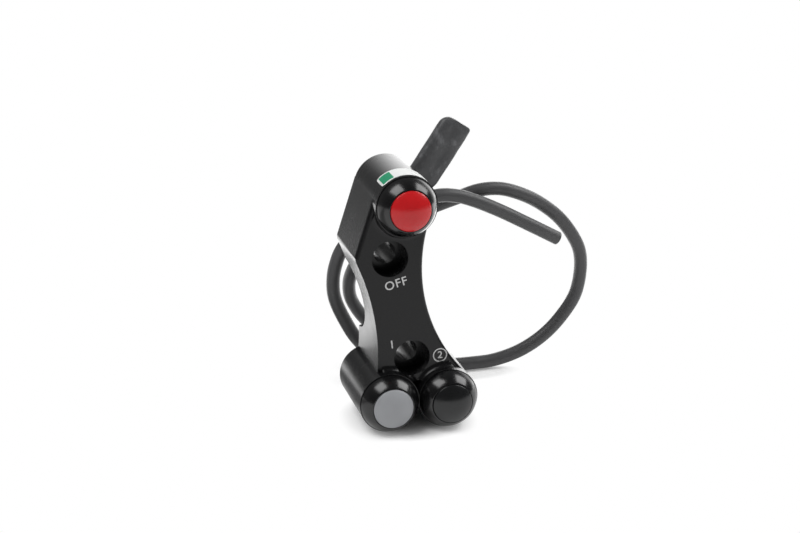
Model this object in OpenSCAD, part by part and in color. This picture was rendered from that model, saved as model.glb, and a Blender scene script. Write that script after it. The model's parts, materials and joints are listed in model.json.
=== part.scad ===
// Handlebar switch cluster: three push buttons in a milled housing that two bolts clamp to a bar.
// Millimetres. +X right, +Y back, +Z up. It stands on its two lower barrels, buttons to the front.
// The origin is under the middle of the housing and its buttons.

/* [Handlebar clamp] */
// Diameter of the handlebar
bar_d = 22.2; // [20:0.1:23]
// Distance between the two clamp bolts
bolt_span = 32; // [31:0.5:34]
// Clearance hole of a clamp bolt
bolt_hole_d = 6.6; // [5.4:0.1:6.8]
// Counterbore for the head of a clamp bolt
bolt_head_d = 11; // [9:0.1:11.5]
// Depth of that counterbore
bolt_head_depth = 6.5; // [4:0.5:8]
// Lean of the bolt line, its upper end to the left
bolt_lean = 12.7; // [11:0.1:14]
// Middle of the bolt line, left of the middle of the lower buttons
clamp_left = 5.1; // [4.5:0.1:5.7]
// Middle of the bolt line above the lower buttons
clamp_rise = 28.3; // [27.5:0.1:29]
// Gap between bar axis and clamp face that tightening takes up
split_gap = 0.4; // [0:0.1:1]

/* [Housing] */
// Depth from the front face to the clamp face
body_depth = 24; // [23:0.5:28]
// Spacing of the two lower buttons
lower_pitch = 18.1; // [17.9:0.1:18.2]
// Outside diameter of a lower barrel, a little over the spacing so that the two run together
lower_d = 18.3; // [18.3:0.1:18.6]
// Outside diameter of the upper barrel
upper_d = 18.6; // [18:0.1:20]
// Upper button above the lower ones
upper_rise = 60.3; // [58:0.1:64]
// Upper button, left of the middle of the lower ones
upper_left = 4.6; // [3:0.1:6]
// Reach of the ear to the left of the middle
ear_reach = 19; // [18.5:0.1:21]
// Rounding of the ear's corner
ear_r = 3.6; // [2.5:0.1:5]
// Radius of the hollow left side
left_r = 72; // [66:1:90]
// Nearest that the left side comes to the middle
left_waist = 12; // [11:0.1:13]
// Height of that place above the lower buttons
left_waist_rise = 12.9; // [11:0.1:15]
// Radius of the hollow right side
right_r = 49.5; // [44:0.5:56]
// Rounding of the front edges
edge_r = 1.2; // [0.6:0.1:1.6]
// Fillet at the foot of each boss
foot_r = 2; // [1:0.1:2.5]
// Chamfer at the back of the barrels
back_chamfer = 0.5; // [0.2:0.1:1]
// Bottom of the front face above the lower buttons
face_foot = 5.4; // [4:0.1:6.5]
// Web between the lower barrels, behind the front face
web_setback = 3; // [1:0.5:6]
// Bottom of that web below the lower buttons
web_drop = 4; // [2:0.5:6]
// Bore of each barrel
bore_d = 15.2; // [14.9:0.1:15.8]
// Drilled way for the leads
wire_way_d = 3.2; // [2.4:0.1:3.4]
// Depth of the wire way behind the front face
wire_way_depth = 10.5; // [10.3:0.1:10.8]
// Drilled passage between the lower barrels
passage_d = 4.4; // [3.6:0.1:5]
// Depth of that passage behind the front face
passage_depth = 13.3; // [13:0.1:14]

/* [Buttons] */
// Middle of a cap's face ahead of the front face
cap_rise = 10.15; // [9.75:0.05:10.55]
// Diameter of a cap
cap_d = 12; // [11:0.1:12.4]
// Gap round a cap in its bezel
cap_gap = 0.2; // [0.15:0.05:0.4]
// Travel of a cap
travel = 1.5; // [0.8:0.1:1.7]
// Outside diameter of a bezel
bezel_d = 17.8; // [17.2:0.1:17.9]
// Height of the dome that a bezel and its cap make together
bezel_h = 6.75; // [6.5:0.05:7]
// Thickness of the bezel rim that stops the cap
rim_t = 2.15; // [1.8:0.05:2.4]
// Length of the bezel's spigot in the barrel
spigot_l = 3; // [2.6:0.1:3.4]
// Wall of that spigot
spigot_wall = 0.7; // [0.5:0.05:0.75]
// Thickness of the seal under a bezel
seal_t = 0.35; // [0.25:0.05:0.5]
// Seal edge inside the bezel's outline
seal_inset = 0.35; // [0.2:0.05:0.5]
// Thickness of a cap's guide flange
flange_t = 2.1; // [1.8:0.1:2.3]
// Section of the sealing ring on that flange
ring_d = 0.8; // [0.6:0.05:1]
// Length of the post under a cap
post_l = 1.9; // [1.6:0.1:2.1]
// Diameter of that post
post_d = 3; // [2.4:0.1:3.2]

/* [Switches] */
// Mean diameter of a return spring
spring_d = 7; // [6.6:0.1:8]
// Wire of a return spring
wire_d = 0.5; // [0.35:0.05:0.55]
// Turns of a return spring
spring_turns = 3.5; // [2:0.5:3.5]
// Depth of the spring's seat in the carrier
spring_seat = 1.5; // [1.3:0.1:2]
// Floor of the carrier under that seat
carrier_floor = 1.2; // [1:0.1:1.6]
// Side of the square switch body
switch_w = 6; // [5:0.1:7]
// Depth of the switch body
switch_h = 5; // [4.8:0.1:5.4]
// Diameter of the switch stem
stem_d = 2.4; // [1.8:0.1:2.6]
// Length of the stem inside the switch body
stem_in = 2.5; // [2:0.1:2.7]
// Thickness of a circuit board
board_t = 1.2; // [0.8:0.1:1.6]
// Thickness of a rear plug
plug_t = 3.6; // [3:0.1:4]
// Rear plug inside the end of its barrel
plug_inset = 0.2; // [0.1:0.1:0.6]
// Spanner holes in a rear plug
spanner_d = 1.8; // [1.2:0.1:2]

/* [Cable] */
// Outside diameter of the cable
cable_d = 4.3; // [3.9:0.1:4.5]
// Diameter of a lead inside the housing
lead_d = 1.2; // [0.8:0.1:1.3]
// Diameter of the gland's thread
gland_d = 6.8; // [6.4:0.1:8]
// Diameter of the gland's flange
gland_flange_d = 10; // [9:0.1:12]
// Thickness of that flange
gland_flange_t = 2.4; // [2:0.1:3]
// Width across the flats of the gland nut
gland_nut_w = 9.5; // [9:0.1:11]
// Thickness of the gland nut
gland_nut_t = 2.2; // [1.6:0.1:2.4]
// Length of the strain relief
relief_l = 10; // [8:0.5:11]
// Diameter of the strain relief at the gland
relief_d = 7.6; // [7:0.1:9]
// Length of the splice sleeve on the cable
splice_l = 9; // [6:0.5:10]
// Wall of the shrunk sleeves
sleeve_t = 0.6; // [0.4:0.1:0.8]
// Width of the flat covered end
tail_w = 9.9; // [9:0.1:12]
// Thickness of the flat covered end
tail_t = 4.6; // [3.6:0.1:5]
// Length of the flat covered end
tail_l = 21.5; // [18:0.5:24]
// Width of the neck between the splice and that end
neck_w = 6.4; // [5:0.1:7]
// Length of that neck from the middle of the cable
neck_l = 9.5; // [8:0.5:12]
// Rounding of the flat end's corners
tail_corner_r = 2.4; // [1:0.1:4]
// Lean of the flat end to the right
tail_lean = 33; // [25:1:40]

/* [Label] */
// Width of the label along the barrel
label_w = 7.5; // [6:0.5:12]
// Angle that the label goes round the barrel
label_angle = 94; // [60:5:120]
// Thickness of the label
label_t = 0.12; // [0.08:0.02:0.2]
// Label behind the front of the barrel
label_back = 0.5; // [0.3:0.1:2]

/* [Hidden] */

$fn = 96;
// Running play of a guide, all round
guide_play = 0.07;
// Play of a fixed piece in its seat
fit_play = 0.05;
// Clear room between pieces that move past each other
room = 0.3;
// Overlap of the solids that make up one piece
bite = 0.2;
// Overlap of the outline's arcs where one runs on into the next
graze = 0.03;
// How far a cutter runs on past the end of its edge, as a length and as a turn of the long arcs
run_on = 1;
run_turn = 1.5;
// Chamfer of small turned pieces
small_chamfer = 0.4;
// Walls and room inside the carrier and the switch
collar_wall = 0.7;
pillar_wall = 0.8;
spring_room = 1;
// Solder holes in a board: their distance from its edge and their diameter
pad_inset = 2.2;
pad_d = 1;
// Depth of the spanner holes
spanner_depth = 1.5;
// Ends of the wire way, from the middles of the two bores that it joins
wire_way_top = [3.4, -3.4];
wire_way_bottom = [0.5, 3.9];
// Play of the cable in the gland, and the end of it that stands out inside
cable_play = 0.15;
cable_show = 0.9;
// Play of the cable in a shrunk sleeve
sleeve_play = 0.3;
// Wall of the strain relief at its tip, its grooves, and one rib and groove as parts of their length
relief_tip = 0.8;
relief_grooves = 4;
groove_depth = 0.35;
rib_profile = [[0, 0], [0.62, 0], [0.7, 1], [0.92, 1]];
// Middle of the label round the barrel, from the right
label_turn = 92;
// Sides of the swept tubes
wire_sides = 6;
lead_sides = 8;
cable_sides = 10;
sleeve_sides = 12;
// Degrees between the facets of a rounded edge, and the facets of a dome
edge_step = 30;
dome_steps = 8;

black_anodised = [0.11, 0.11, 0.12];
gloss_black = [0.04, 0.04, 0.045];
rubber_black = [0.06, 0.06, 0.06];
steel = [0.72, 0.72, 0.74];
nylon = [0.86, 0.85, 0.80];
board_green = [0.05, 0.30, 0.16];

// Places in the front view, as [x, z], from the middle of the lower buttons and the table
lower_r = lower_d / 2;
upper_r = upper_d / 2;
lower_left_c = [-lower_pitch / 2, lower_r];
lower_right_c = [lower_pitch / 2, lower_r];
upper_c = [-upper_left, lower_r + upper_rise];
clamp_c = [-clamp_left, lower_r + clamp_rise];
bolt_dir = [-sin(bolt_lean), cos(bolt_lean)];
upper_bolt = clamp_c + bolt_span / 2 * bolt_dir;
lower_bolt = clamp_c - bolt_span / 2 * bolt_dir;

// The outline's arcs: the left arc runs into the ear, the right arc from one barrel to another
left_c = [-left_waist - left_r, lower_r + left_waist_rise];
ear_x = -ear_reach + ear_r;
ear_c = [ear_x, left_c.y + sqrt(pow(left_r + ear_r - graze, 2) - pow(ear_x - left_c.x, 2))];
right_c = meet(upper_c, upper_r + right_r - graze, lower_right_c, lower_r + right_r - graze);
ear_line = angle_to(ear_c, upper_c) + acos((ear_r - upper_r) / norm(upper_c - ear_c));
foot_z = lower_r + face_foot;

// Radii round a button's axis
bezel_r = bezel_d / 2;
cap_r = cap_d / 2;
aperture_r = cap_r + cap_gap;
bore_r = bore_d / 2;
spigot_r = bore_r - fit_play;
slide_r = spigot_r - spigot_wall;
flange_r = slide_r - guide_play;
ring_mid_r = flange_r - ring_d / 2 + fit_play / 2;
ring_groove_r = ring_mid_r - ring_d / 2 - fit_play;
stem_r = stem_d / 2;
collar_r = stem_r + collar_wall;
guide_r = post_d / 2 + room;
spring_r = spring_d / 2;

// The dome of a button, and places along its axis, behind the middle of the cap's face
dome_r = (pow(bezel_r, 2) + pow(bezel_h, 2)) / (2 * bezel_h);
stop_s = dome_at(aperture_r).y + rim_t;
flange_s = stop_s + room;
flange_end = flange_s + flange_t;
post_end = flange_end + post_l;
barrel_s = bezel_h + seal_t;
spigot_s = bezel_h + spigot_l;
stem_s = post_end + room;
carrier_s = spigot_s + fit_play;
seat_s = carrier_s + spring_seat;
switch_s = seat_s + carrier_floor;
switch_end = switch_s + switch_h;
stem_end = switch_s + stem_in;
board_s = switch_end + fit_play;
board_end = board_s + board_t;
plug_end = cap_rise + body_depth - plug_inset;
plug_s = plug_end - plug_t;

// The cable's way out at the back of the lower right barrel
cable_r = cable_d / 2;
gland_bore_r = cable_r + cable_play;
gland_y = body_depth - plug_inset + fit_play;
relief_y = gland_y + gland_flange_t + fit_play;
plug_y = body_depth - plug_inset - plug_t;
nut_y = plug_y - fit_play - gland_nut_t;
cable_start_y = nut_y - cable_show;
lead_end_y = cable_start_y - room;
board_back = board_end - cap_rise + room + fit_play;
splice_r = cable_r + sleeve_play + sleeve_t;

// The origin, in the middle of the housing and its caps
mid_x = (lower_pitch / 2 + lower_r - ear_reach) / 2;
mid_y = (body_depth - cap_rise) / 2;

// Routes, in the housing's own places: [right of the middle, behind the front face, above the table].
// The leads' places are counted from the upper button and from the height of the lower ones
exit_x = lower_right_c.x;
cable_route = [[exit_x, cable_start_y, lower_r], [exit_x, 24, lower_r], [exit_x, 31, lower_r],
    [exit_x, 38, lower_r], [8, 46, 9.6], [4, 52.5, 11], [-2, 55.5, 14.5], [-6.8, 55, 21.5],
    [-8.4, 53, 27.6], [-8, 50, 33.5], [-5.2, 46, 41], [0, 41.5, 48.5], [7, 37.5, 54.3],
    [15.5, 35, 58.2], [22, 34, 60.6], [29, 34, 62.6], [36, 34.5, 62.5], [43, 35, 60.3],
    [50, 36.5, 56.5], [56.8, 37.5, 51.2], [62, 38.5, 45], [65.5, 39.5, 38.5], [66.5, 40.5, 31],
    [65, 41, 22.5],
    [60, 41.5, 14.5], [54, 41.5, 8.8], [46.5, 41, 4.8], [38, 40.5, 2.6], [30, 40, 2.3],
    [22, 40, 2.3], [14, 40.3, 2.3], [5, 40.5, 3.8], [-3, 40.5, 8], [-8.8, 40, 14], [-12.7, 40, 20.5],
    [-15.8, 40, 27.5], [-16.6, 40, 33], [-16, 39.5, 39], [-13.8, 37.8, 45.6], [-9, 34.5, 51.6],
    [-2, 30.5, 57.4], [5.5, 27.6, 61.6], [13, 26.9, 63.6], [19, 27.2, 63.2], [25, 27.8, 61.3],
    [34, 29, 57.1], [44.5, 30, 51.5], [54.5, 31, 46]];
red_route = concat(
    [for (p = [[-3.8, board_back, -3.85], [-3.8, 10.4, -3.75], [-2.6, 12, -1.45], [0.4, 12.4, 0.75],
        [3, 12, -0.85], [3.4, 11, -3.45], [2.9, wire_way_depth, -6.95]]) p + [upper_c.x, 0, upper_c.y]],
    [for (p = [[-5, wire_way_depth, 29.65], [-8.2, wire_way_depth, 6.75], [-7.2, 12.2, 2.65],
        [-4, 13.2, 1.05], [0, 13.4, 0.75], [4.5, 13.5, 0.75], [7.4, 14, 0.95], [9, 15.4, 1.15],
        [exit_x, lead_end_y, 1.15]]) p + [0, 0, lower_r]]);
grey_route = [for (p = [[-5.3, board_back, -3.85], [-5.2, 10.4, -3.65], [-4.2, 12.2, -2.15],
    [-2, 13.1, -0.95], [0, 13.2, -0.85], [4.2, 13.4, -0.85], [6.8, 14, -0.75], [8, 15.4, -0.75],
    [8.1, lead_end_y, -0.75]]) p + [0, 0, lower_r]];
black_route = [for (p = [[12.9, board_back, -3.85], [12.8, 10.4, -3.65], [11.6, 13, -2.15],
    [10.3, 15.3, -0.85], [10.1, lead_end_y, -0.75]]) p + [0, 0, lower_r]];
// Where the splice sits, counted in route points
splice_at = 40.6;
splice_pitch = norm(cable_route[41] - cable_route[40]);

function angle_to(a, b) = atan2(b.y - a.y, b.x - a.x);
function polar(r, a) = [r * cos(a), r * sin(a)];
// A button's dome, as [radius, place along the axis], at one radius and as an arc from one to another
function dome_at(r) = [r, dome_r - sqrt(dome_r * dome_r - r * r)];
function dome(r0, r1) =
    let (a = asin(r0 / dome_r), b = asin(r1 / dome_r))
    [for (k = [0 : dome_steps]) dome_at(dome_r * sin(a + (b - a) * k / dome_steps))];
// The right-hand crossing of two circles
function meet(a, ra, b, rb) =
    let (d = norm(b - a), u = (b - a) / d, t = (ra * ra - rb * rb + d * d) / (2 * d))
    a + t * u + sqrt(ra * ra - t * t) * [-u.y, u.x];

// A smooth curve through a route's points, as many places on each stretch
function curve(p, steps) = concat(
    [for (i = [0 : len(p) - 2], k = [0 : steps - 1]) stretch(p, i, k / steps)], [p[len(p) - 1]]);
function stretch(p, i, t) =
    let (a = p[max(i - 1, 0)], b = p[i], c = p[i + 1], d = p[min(i + 2, len(p) - 1)])
    0.5 * (2 * b + (c - a) * t + (2 * a - 5 * b + 4 * c - d) * t * t + (3 * b - a - 3 * c + d) * t * t * t);
function along(p, u) = stretch(p, floor(u), u - floor(u));
function unit(v) = v / norm(v);
function heading(p, i) = unit(p[min(i + 1, len(p) - 1)] - p[max(i - 1, 0)]);
function square_to(v, t) = unit(v - (v * t) * t);
function sides_of(p) =
    [for (i = 0, s = square_to([0.3, 0.2, 1], heading(p, 0)); i < len(p);
        i = i + 1, s = i < len(p) ? square_to(s, heading(p, i)) : s) s];
function route_length(p) = len(p) < 2 ? 0 : sum([for (i = [1 : len(p) - 1]) norm(p[i] - p[i - 1])]);
function sum(v) = v * [for (i = v) 1];
function helix(turns, r, s0, s1, rings) =
    [for (i = [0 : rings]) let (a = 360 * turns * i / rings)
        [r * cos(a), r * sin(a), s0 + (s1 - s0) * i / rings]];
// Least distance between places of a tube that lie at least one turn apart along it
function self_gap(p, apart, d) =
    min([for (i = [0 : len(p) - 1 - apart], j = [i + apart : len(p) - 1]) norm(p[i] - p[j])]) - d;

spring_path = helix(spring_turns, spring_r, flange_end + wire_d / 2 + fit_play,
    seat_s - wire_d / 2 - fit_play, round(8 * spring_turns));
cable_path = curve(cable_route, 2);
splice_path = [for (k = [-2 : 2]) along(cable_route, splice_at + splice_l / 4 * k / splice_pitch)];
// The cable's way past the flat end, which is notched along it
notch_path = [for (k = [-3 : 7]) along(cable_route, splice_at + k / 4)];
echo(spring_gap = self_gap(spring_path, 7, wire_d));
echo(cable_gap = self_gap(cable_path, 12, cable_d));
echo(cable_length = route_length(curve(cable_route, 8)));

module place() { translate([-mid_x, -mid_y, 0]) children(); }
// Turns a shape drawn in the front view, its own Z to the front, about a place in that view
module facing(c) { translate([c.x, 0, c.y]) rotate([90, 0, 0]) children(); }
// Puts a shape on a button's axis, its own Z running back from the cap face
module behind_cap(c) { translate([c.x, -cap_rise, c.y]) rotate([-90, 0, 0]) children(); }
module revolve(points) { rotate_extrude() polygon(points); }
module drill(c, r, y0, y1) { translate([c.x, y0, c.y]) rotate([-90, 0, 0]) cylinder(r = r, h = y1 - y0); }
module ring(r_out, r_in, s0, s1) {
    revolve([[r_in, s0], [r_out, s0], [r_out, s1], [r_in, s1]]);
}
// A tube of a few flat sides swept along a path
module tube(path, r, sides) {
    side = sides_of(path);
    rings = [for (i = [0 : len(path) - 1]) let (n = side[i], b = cross(heading(path, i), n))
        for (k = [0 : sides - 1]) path[i] + r * (cos(360 * k / sides) * n + sin(360 * k / sides) * b)];
    last = len(path) - 1;
    walls = [for (i = [0 : last - 1], k = [0 : sides - 1])
        let (a = i * sides + k, b = i * sides + (k + 1) % sides)
        each [[a, a + sides, b], [b, a + sides, b + sides]]];
    ends = [for (k = [1 : sides - 2]) each [[0, k, k + 1],
        [last * sides, last * sides + k + 1, last * sides + k]]];
    polyhedron(rings, concat(walls, ends));
}

// The facets of a rounded front edge; side is 1 where the metal lies outside radius r, -1 where inside
function edge_point(r, side, t) = [r + side * edge_r * (1 - cos(t)), edge_r * (sin(t) - 1)];
function edge_profile(r, side) =
    let (p = [for (t = [0 : edge_step : 90]) edge_point(r, side, t)], n = len(p) - 1)
    concat([p[0] - 0.5 * (p[1] - p[0])], [for (i = [1 : n - 1]) p[i]],
        [p[n] + 0.5 * (p[n] - p[n - 1]), [r - side * edge_r / 2, edge_r / 2]]);
module edge_arc(c, r, side, from, to) {
    facing(c) rotate([0, 0, from]) rotate_extrude(angle = to - from) polygon(edge_profile(r, side));
}
// Puts a shape on the straight side between ear and barrel, its own Z running down from the barrel
module on_ear_line() {
    translate([ear_c.x, 0, ear_c.y]) rotate([0, -ear_line, 0]) translate([ear_r - graze, 0, 0]) children();
}
// The front view's outline, drawn in by an inset, as a block from y0 to y1
module outline_block(inset, y0, y1) {
    beyond = 2 * ear_reach;
    difference() {
        union() {
            translate([0, y1, 0]) rotate([90, 0, 0]) linear_extrude(y1 - y0) polygon([upper_c,
                upper_c + polar(upper_r + run_on, ear_line), ear_c + polar(ear_r + run_on, ear_line),
                ear_c, ear_c + polar(ear_r, angle_to(ear_c, left_c)), [-ear_reach, foot_z],
                [lower_right_c.x, foot_z], lower_right_c, right_c]);
            drill(ear_c, ear_r - inset, y0, y1);
        }
        drill(left_c, left_r + inset, y0 - 1, y1 + 1);
        drill(right_c, right_r + inset, y0 - 1, y1 + 1);
        on_ear_line() translate([-inset, y0 - 1, -beyond]) cube([beyond, y1 - y0 + 2, 2 * beyond]);
    }
}
module front_plate() {
    foot_turn = asin((foot_z - left_c.y) / left_r);
    ear_line_l = norm(upper_c - ear_c);
    difference() {
        outline_block(0, 0, body_depth);
        edge_arc(left_c, left_r, 1, foot_turn - run_turn, angle_to(left_c, ear_c) + run_turn);
        edge_arc(ear_c, ear_r, -1, ear_line, angle_to(ear_c, left_c) + 360);
        on_ear_line() translate([0, 0, -ear_line_l]) linear_extrude(ear_line_l + run_on)
            mirror([0, 1]) polygon(edge_profile(0, -1));
        edge_arc(right_c, right_r, 1, angle_to(right_c, upper_c) - run_turn,
            angle_to(right_c, lower_right_c) + 360 + run_turn);
    }
}
module barrel(c, r) {
    behind_cap(c) revolve([[0, barrel_s], [r, barrel_s], [r, cap_rise + body_depth - back_chamfer],
        [r - back_chamfer, cap_rise + body_depth], [0, cap_rise + body_depth]]);
}
// The hollow fillet round the foot of a boss, kept inside the front face
module boss_foot(c, r) {
    intersection() {
        facing(c) revolve(concat([[r - bite, -bite], [r + foot_r, -bite]],
            [for (t = [0 : 15 : 90]) [r + foot_r * (1 - sin(t)), foot_r * (1 - cos(t))]],
            [[r - bite, foot_r]]));
        outline_block(edge_r + bite, -foot_r - 1, bite);
    }
}
module bolt_cut(c) {
    drill(c, bolt_hole_d / 2, -cap_rise, body_depth + 1);
    drill(c, bolt_head_d / 2, -foot_r - 1, bolt_head_depth);
}
module saddle_cut() {
    reach = 2 * ear_reach + lower_pitch;
    translate([clamp_c.x, body_depth + split_gap, clamp_c.y]) rotate([0, 90 - bolt_lean, 0])
        translate([0, 0, -reach]) cylinder(r = bar_d / 2, h = 2 * reach);
}
// The wire way runs between the bolts, from the upper bore to the lower left bore
module wire_way() {
    top = upper_c + wire_way_top;
    run = lower_left_c + wire_way_bottom - top;
    translate([top.x, wire_way_depth, top.y]) rotate([0, 90 - atan2(run.y, run.x), 0])
        cylinder(d = wire_way_d, h = norm(run));
}
module housing() {
    color(black_anodised) place() difference() {
        union() {
            front_plate();
            barrel(upper_c, upper_r);
            barrel(lower_left_c, lower_r);
            barrel(lower_right_c, lower_r);
            boss_foot(upper_c, upper_r);
            boss_foot(lower_left_c, lower_r);
            boss_foot(lower_right_c, lower_r);
            translate([lower_left_c.x, web_setback, lower_r - web_drop])
                cube([lower_pitch, body_depth - web_setback, web_drop + face_foot + bite]);
        }
        for (c = [upper_c, lower_left_c, lower_right_c]) drill(c, bore_r, -cap_rise, body_depth + 1);
        bolt_cut(upper_bolt);
        bolt_cut(lower_bolt);
        saddle_cut();
        wire_way();
        translate([lower_left_c.x, passage_depth, lower_r]) rotate([0, 90, 0])
            cylinder(d = passage_d, h = lower_pitch);
    }
}

// A domed ring that the cap completes: the cap's stop and slide inside, a spigot in the barrel
module bezel(c) {
    color(gloss_black) place() behind_cap(c) revolve(concat(dome(aperture_r, bezel_r),
        [[spigot_r, bezel_h], [spigot_r, spigot_s], [slide_r, spigot_s], [slide_r, stop_s],
        [aperture_r, stop_s]]));
}
module seal(c) {
    color(rubber_black) place() behind_cap(c)
        ring(bezel_r - seal_inset, bore_r + fit_play, bezel_h, barrel_s);
}
module cap(c, tint) {
    ring_s = (flange_s + flange_end) / 2;
    half = ring_d / 2 + fit_play;
    color(tint) place() behind_cap(c) revolve(concat(dome(0, cap_r), [[cap_r, flange_s],
        [flange_r, flange_s], [flange_r, ring_s - half], [ring_groove_r, ring_s - half],
        [ring_groove_r, ring_s + half], [flange_r, ring_s + half], [flange_r, flange_end],
        [post_d / 2, flange_end], [post_d / 2, post_end], [0, post_end]]));
}
module cap_ring(c) {
    color(rubber_black) place() behind_cap(c) translate([0, 0, (flange_s + flange_end) / 2])
        rotate_extrude() translate([ring_mid_r, 0]) circle(d = ring_d, $fn = 24);
}
module spring(c) {
    color(steel) place() behind_cap(c) tube(spring_path, wire_d / 2, wire_sides);
}
module stem(c) {
    tip = 0.3;
    color(rubber_black) place() behind_cap(c)
        revolve([[0, stem_s], [stem_r - tip, stem_s], [stem_r, stem_s + tip], [stem_r, stem_end],
            [0, stem_end]]);
}
module carrier(c) {
    groove_in = guide_r + pillar_wall;
    groove_out = spring_r + wire_d / 2 + spring_room;
    pocket = switch_w + 2 * fit_play;
    color(nylon) place() behind_cap(c) difference() {
        translate([0, 0, carrier_s]) cylinder(r = bore_r - 2 * fit_play, h = switch_end - carrier_s);
        ring(groove_out, groove_in, carrier_s - 1, seat_s);
        translate([0, 0, carrier_s - 1]) cylinder(r = guide_r, h = spring_seat + 1);
        translate([0, 0, carrier_s]) cylinder(r = collar_r + fit_play, h = switch_end - carrier_s);
        translate([-pocket / 2, -pocket / 2, switch_s]) cube([pocket, pocket, switch_h + 1]);
    }
}
module switch_body(c) {
    collar_s = seat_s + fit_play;
    color(rubber_black) place() behind_cap(c) difference() {
        union() {
            translate([-switch_w / 2, -switch_w / 2, switch_s + fit_play])
                cube([switch_w, switch_w, switch_h - fit_play]);
            translate([0, 0, collar_s]) cylinder(r = collar_r, h = switch_s - collar_s + bite);
        }
        translate([0, 0, collar_s - 1])
            cylinder(r = stem_r + guide_play, h = stem_end + travel + room - collar_s + 1);
    }
}
module board(c) {
    pad_r = bore_r - pad_inset;
    color(board_green) place() behind_cap(c) difference() {
        translate([0, 0, board_s]) cylinder(r = bore_r - 2 * fit_play, h = board_t);
        for (a = [45, 135]) rotate([0, 0, a]) translate([pad_r, 0, board_s - 1])
            cylinder(d = pad_d, h = board_t + 2);
    }
}
module rear_plug(c, hole_r) {
    r = bore_r - fit_play;
    color(black_anodised) place() behind_cap(c) difference() {
        revolve([[0, plug_s], [r, plug_s], [r, plug_end - back_chamfer], [r - back_chamfer, plug_end],
            [0, plug_end]]);
        for (a = [45, 225]) rotate([0, 0, a]) translate([r - spanner_d, 0, plug_end - spanner_depth])
            cylinder(d = spanner_d, h = spanner_depth + 1);
        if (hole_r > 0) translate([0, 0, plug_s - 1]) cylinder(r = hole_r, h = plug_t + 2);
    }
}
module lead(route, tint) { color(tint) place() tube(curve(route, 2), lead_d / 2, lead_sides); }

module on_exit(y) { place() translate([exit_x, y, lower_r]) rotate([-90, 0, 0]) children(); }
module cable_gland() {
    neck = gland_y - nut_y;
    color(black_anodised) on_exit(nut_y) revolve([[gland_bore_r, 0], [gland_d / 2, 0], [gland_d / 2, neck],
        [gland_flange_d / 2, neck], [gland_flange_d / 2, neck + gland_flange_t - small_chamfer],
        [gland_flange_d / 2 - small_chamfer, neck + gland_flange_t], [gland_bore_r, neck + gland_flange_t]]);
}
module gland_nut() {
    color(steel) on_exit(nut_y) difference() {
        cylinder(d = gland_nut_w / cos(30), h = gland_nut_t, $fn = 6);
        translate([0, 0, -1]) cylinder(d = gland_d + 2 * fit_play, h = gland_nut_t + 2);
    }
}
// A tapered boot with shallow grooves that let it bend
module strain_relief() {
    tip_r = cable_r + relief_tip;
    band = relief_l / relief_grooves;
    taper = (relief_d / 2 - tip_r) / relief_l;
    color(rubber_black) on_exit(relief_y) revolve(concat([[gland_bore_r, 0]],
        [for (i = [0 : relief_grooves - 1], k = rib_profile)
            let (s = band * (i + k[0])) [relief_d / 2 - taper * s - groove_depth * k[1], s]],
        [[tip_r, relief_l], [gland_bore_r, relief_l]]));
}
module cable() { color(rubber_black) place() tube(cable_path, cable_r, cable_sides); }
module splice_sleeve() {
    last = len(splice_path) - 1;
    before = splice_path[0] - bite * heading(splice_path, 0);
    after = splice_path[last] + bite * heading(splice_path, last);
    color(rubber_black) place() difference() {
        tube(splice_path, splice_r, sleeve_sides);
        tube(concat([before], splice_path, [after]), cable_r + sleeve_play, sleeve_sides);
    }
}
// The flat end: a neck, notched along the splice and the cable, that widens into a shrunk sleeve
module covered_tail() {
    notch_r = (splice_r + fit_play) / cos(180 / sleeve_sides);
    neck_t = 0.8 * tail_t;
    color(rubber_black) place() difference() {
        translate(along(cable_route, splice_at)) rotate([0, tail_lean, 0]) {
            flat_bar(neck_w, neck_t, 0, neck_l + bite);
            intersection() {
                flat_bar(tail_w, tail_t, neck_l, neck_l + tail_l);
                translate([0, tail_t, neck_l + tail_l / 2]) rotate([90, 0, 0])
                    linear_extrude(2 * tail_t) rounded(tail_w, tail_l, tail_corner_r);
            }
        }
        tube(notch_path, notch_r, sleeve_sides);
    }
}
module flat_bar(w, t, z0, z1) {
    translate([0, 0, z0]) linear_extrude(z1 - z0) {
        square([w - t, t], center = true);
        for (k = [-1, 1]) translate([k * (w - t) / 2, 0]) circle(d = t);
    }
}
module rounded(w, l, r) {
    square([w, l - 2 * r], center = true);
    square([w - 2 * r, l], center = true);
    for (x = [-1, 1], y = [-1, 1]) translate([x * (w / 2 - r), y * (l / 2 - r)]) circle(r = r);
}
module label() {
    front = cap_rise - barrel_s - label_back;
    color("white") place() facing(upper_c) rotate([0, 0, label_turn - label_angle / 2])
        rotate_extrude(angle = label_angle) translate([upper_r + fit_play, front - label_w])
            square([label_t, label_w]);
}

housing();
bezel(upper_c);  // red_bezel
bezel(lower_left_c);  // grey_bezel
bezel(lower_right_c);  // black_bezel
seal(upper_c);  // red_seal
seal(lower_left_c);  // grey_seal
seal(lower_right_c);  // black_seal
cap(upper_c, [0.72, 0.04, 0.05]);  // red_cap
cap(lower_left_c, [0.5, 0.5, 0.52]);  // grey_cap
cap(lower_right_c, [0.08, 0.08, 0.085]);  // black_cap
cap_ring(upper_c);  // red_cap_ring
cap_ring(lower_left_c);  // grey_cap_ring
cap_ring(lower_right_c);  // black_cap_ring
spring(upper_c);  // red_spring
spring(lower_left_c);  // grey_spring
spring(lower_right_c);  // black_spring
stem(upper_c);  // red_stem
stem(lower_left_c);  // grey_stem
stem(lower_right_c);  // black_stem
carrier(upper_c);  // red_carrier
carrier(lower_left_c);  // grey_carrier
carrier(lower_right_c);  // black_carrier
switch_body(upper_c);  // red_switch
switch_body(lower_left_c);  // grey_switch
switch_body(lower_right_c);  // black_switch
board(upper_c);  // red_board
board(lower_left_c);  // grey_board
board(lower_right_c);  // black_board
rear_plug(upper_c, 0);  // red_rear_plug
rear_plug(lower_left_c, 0);  // grey_rear_plug
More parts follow.
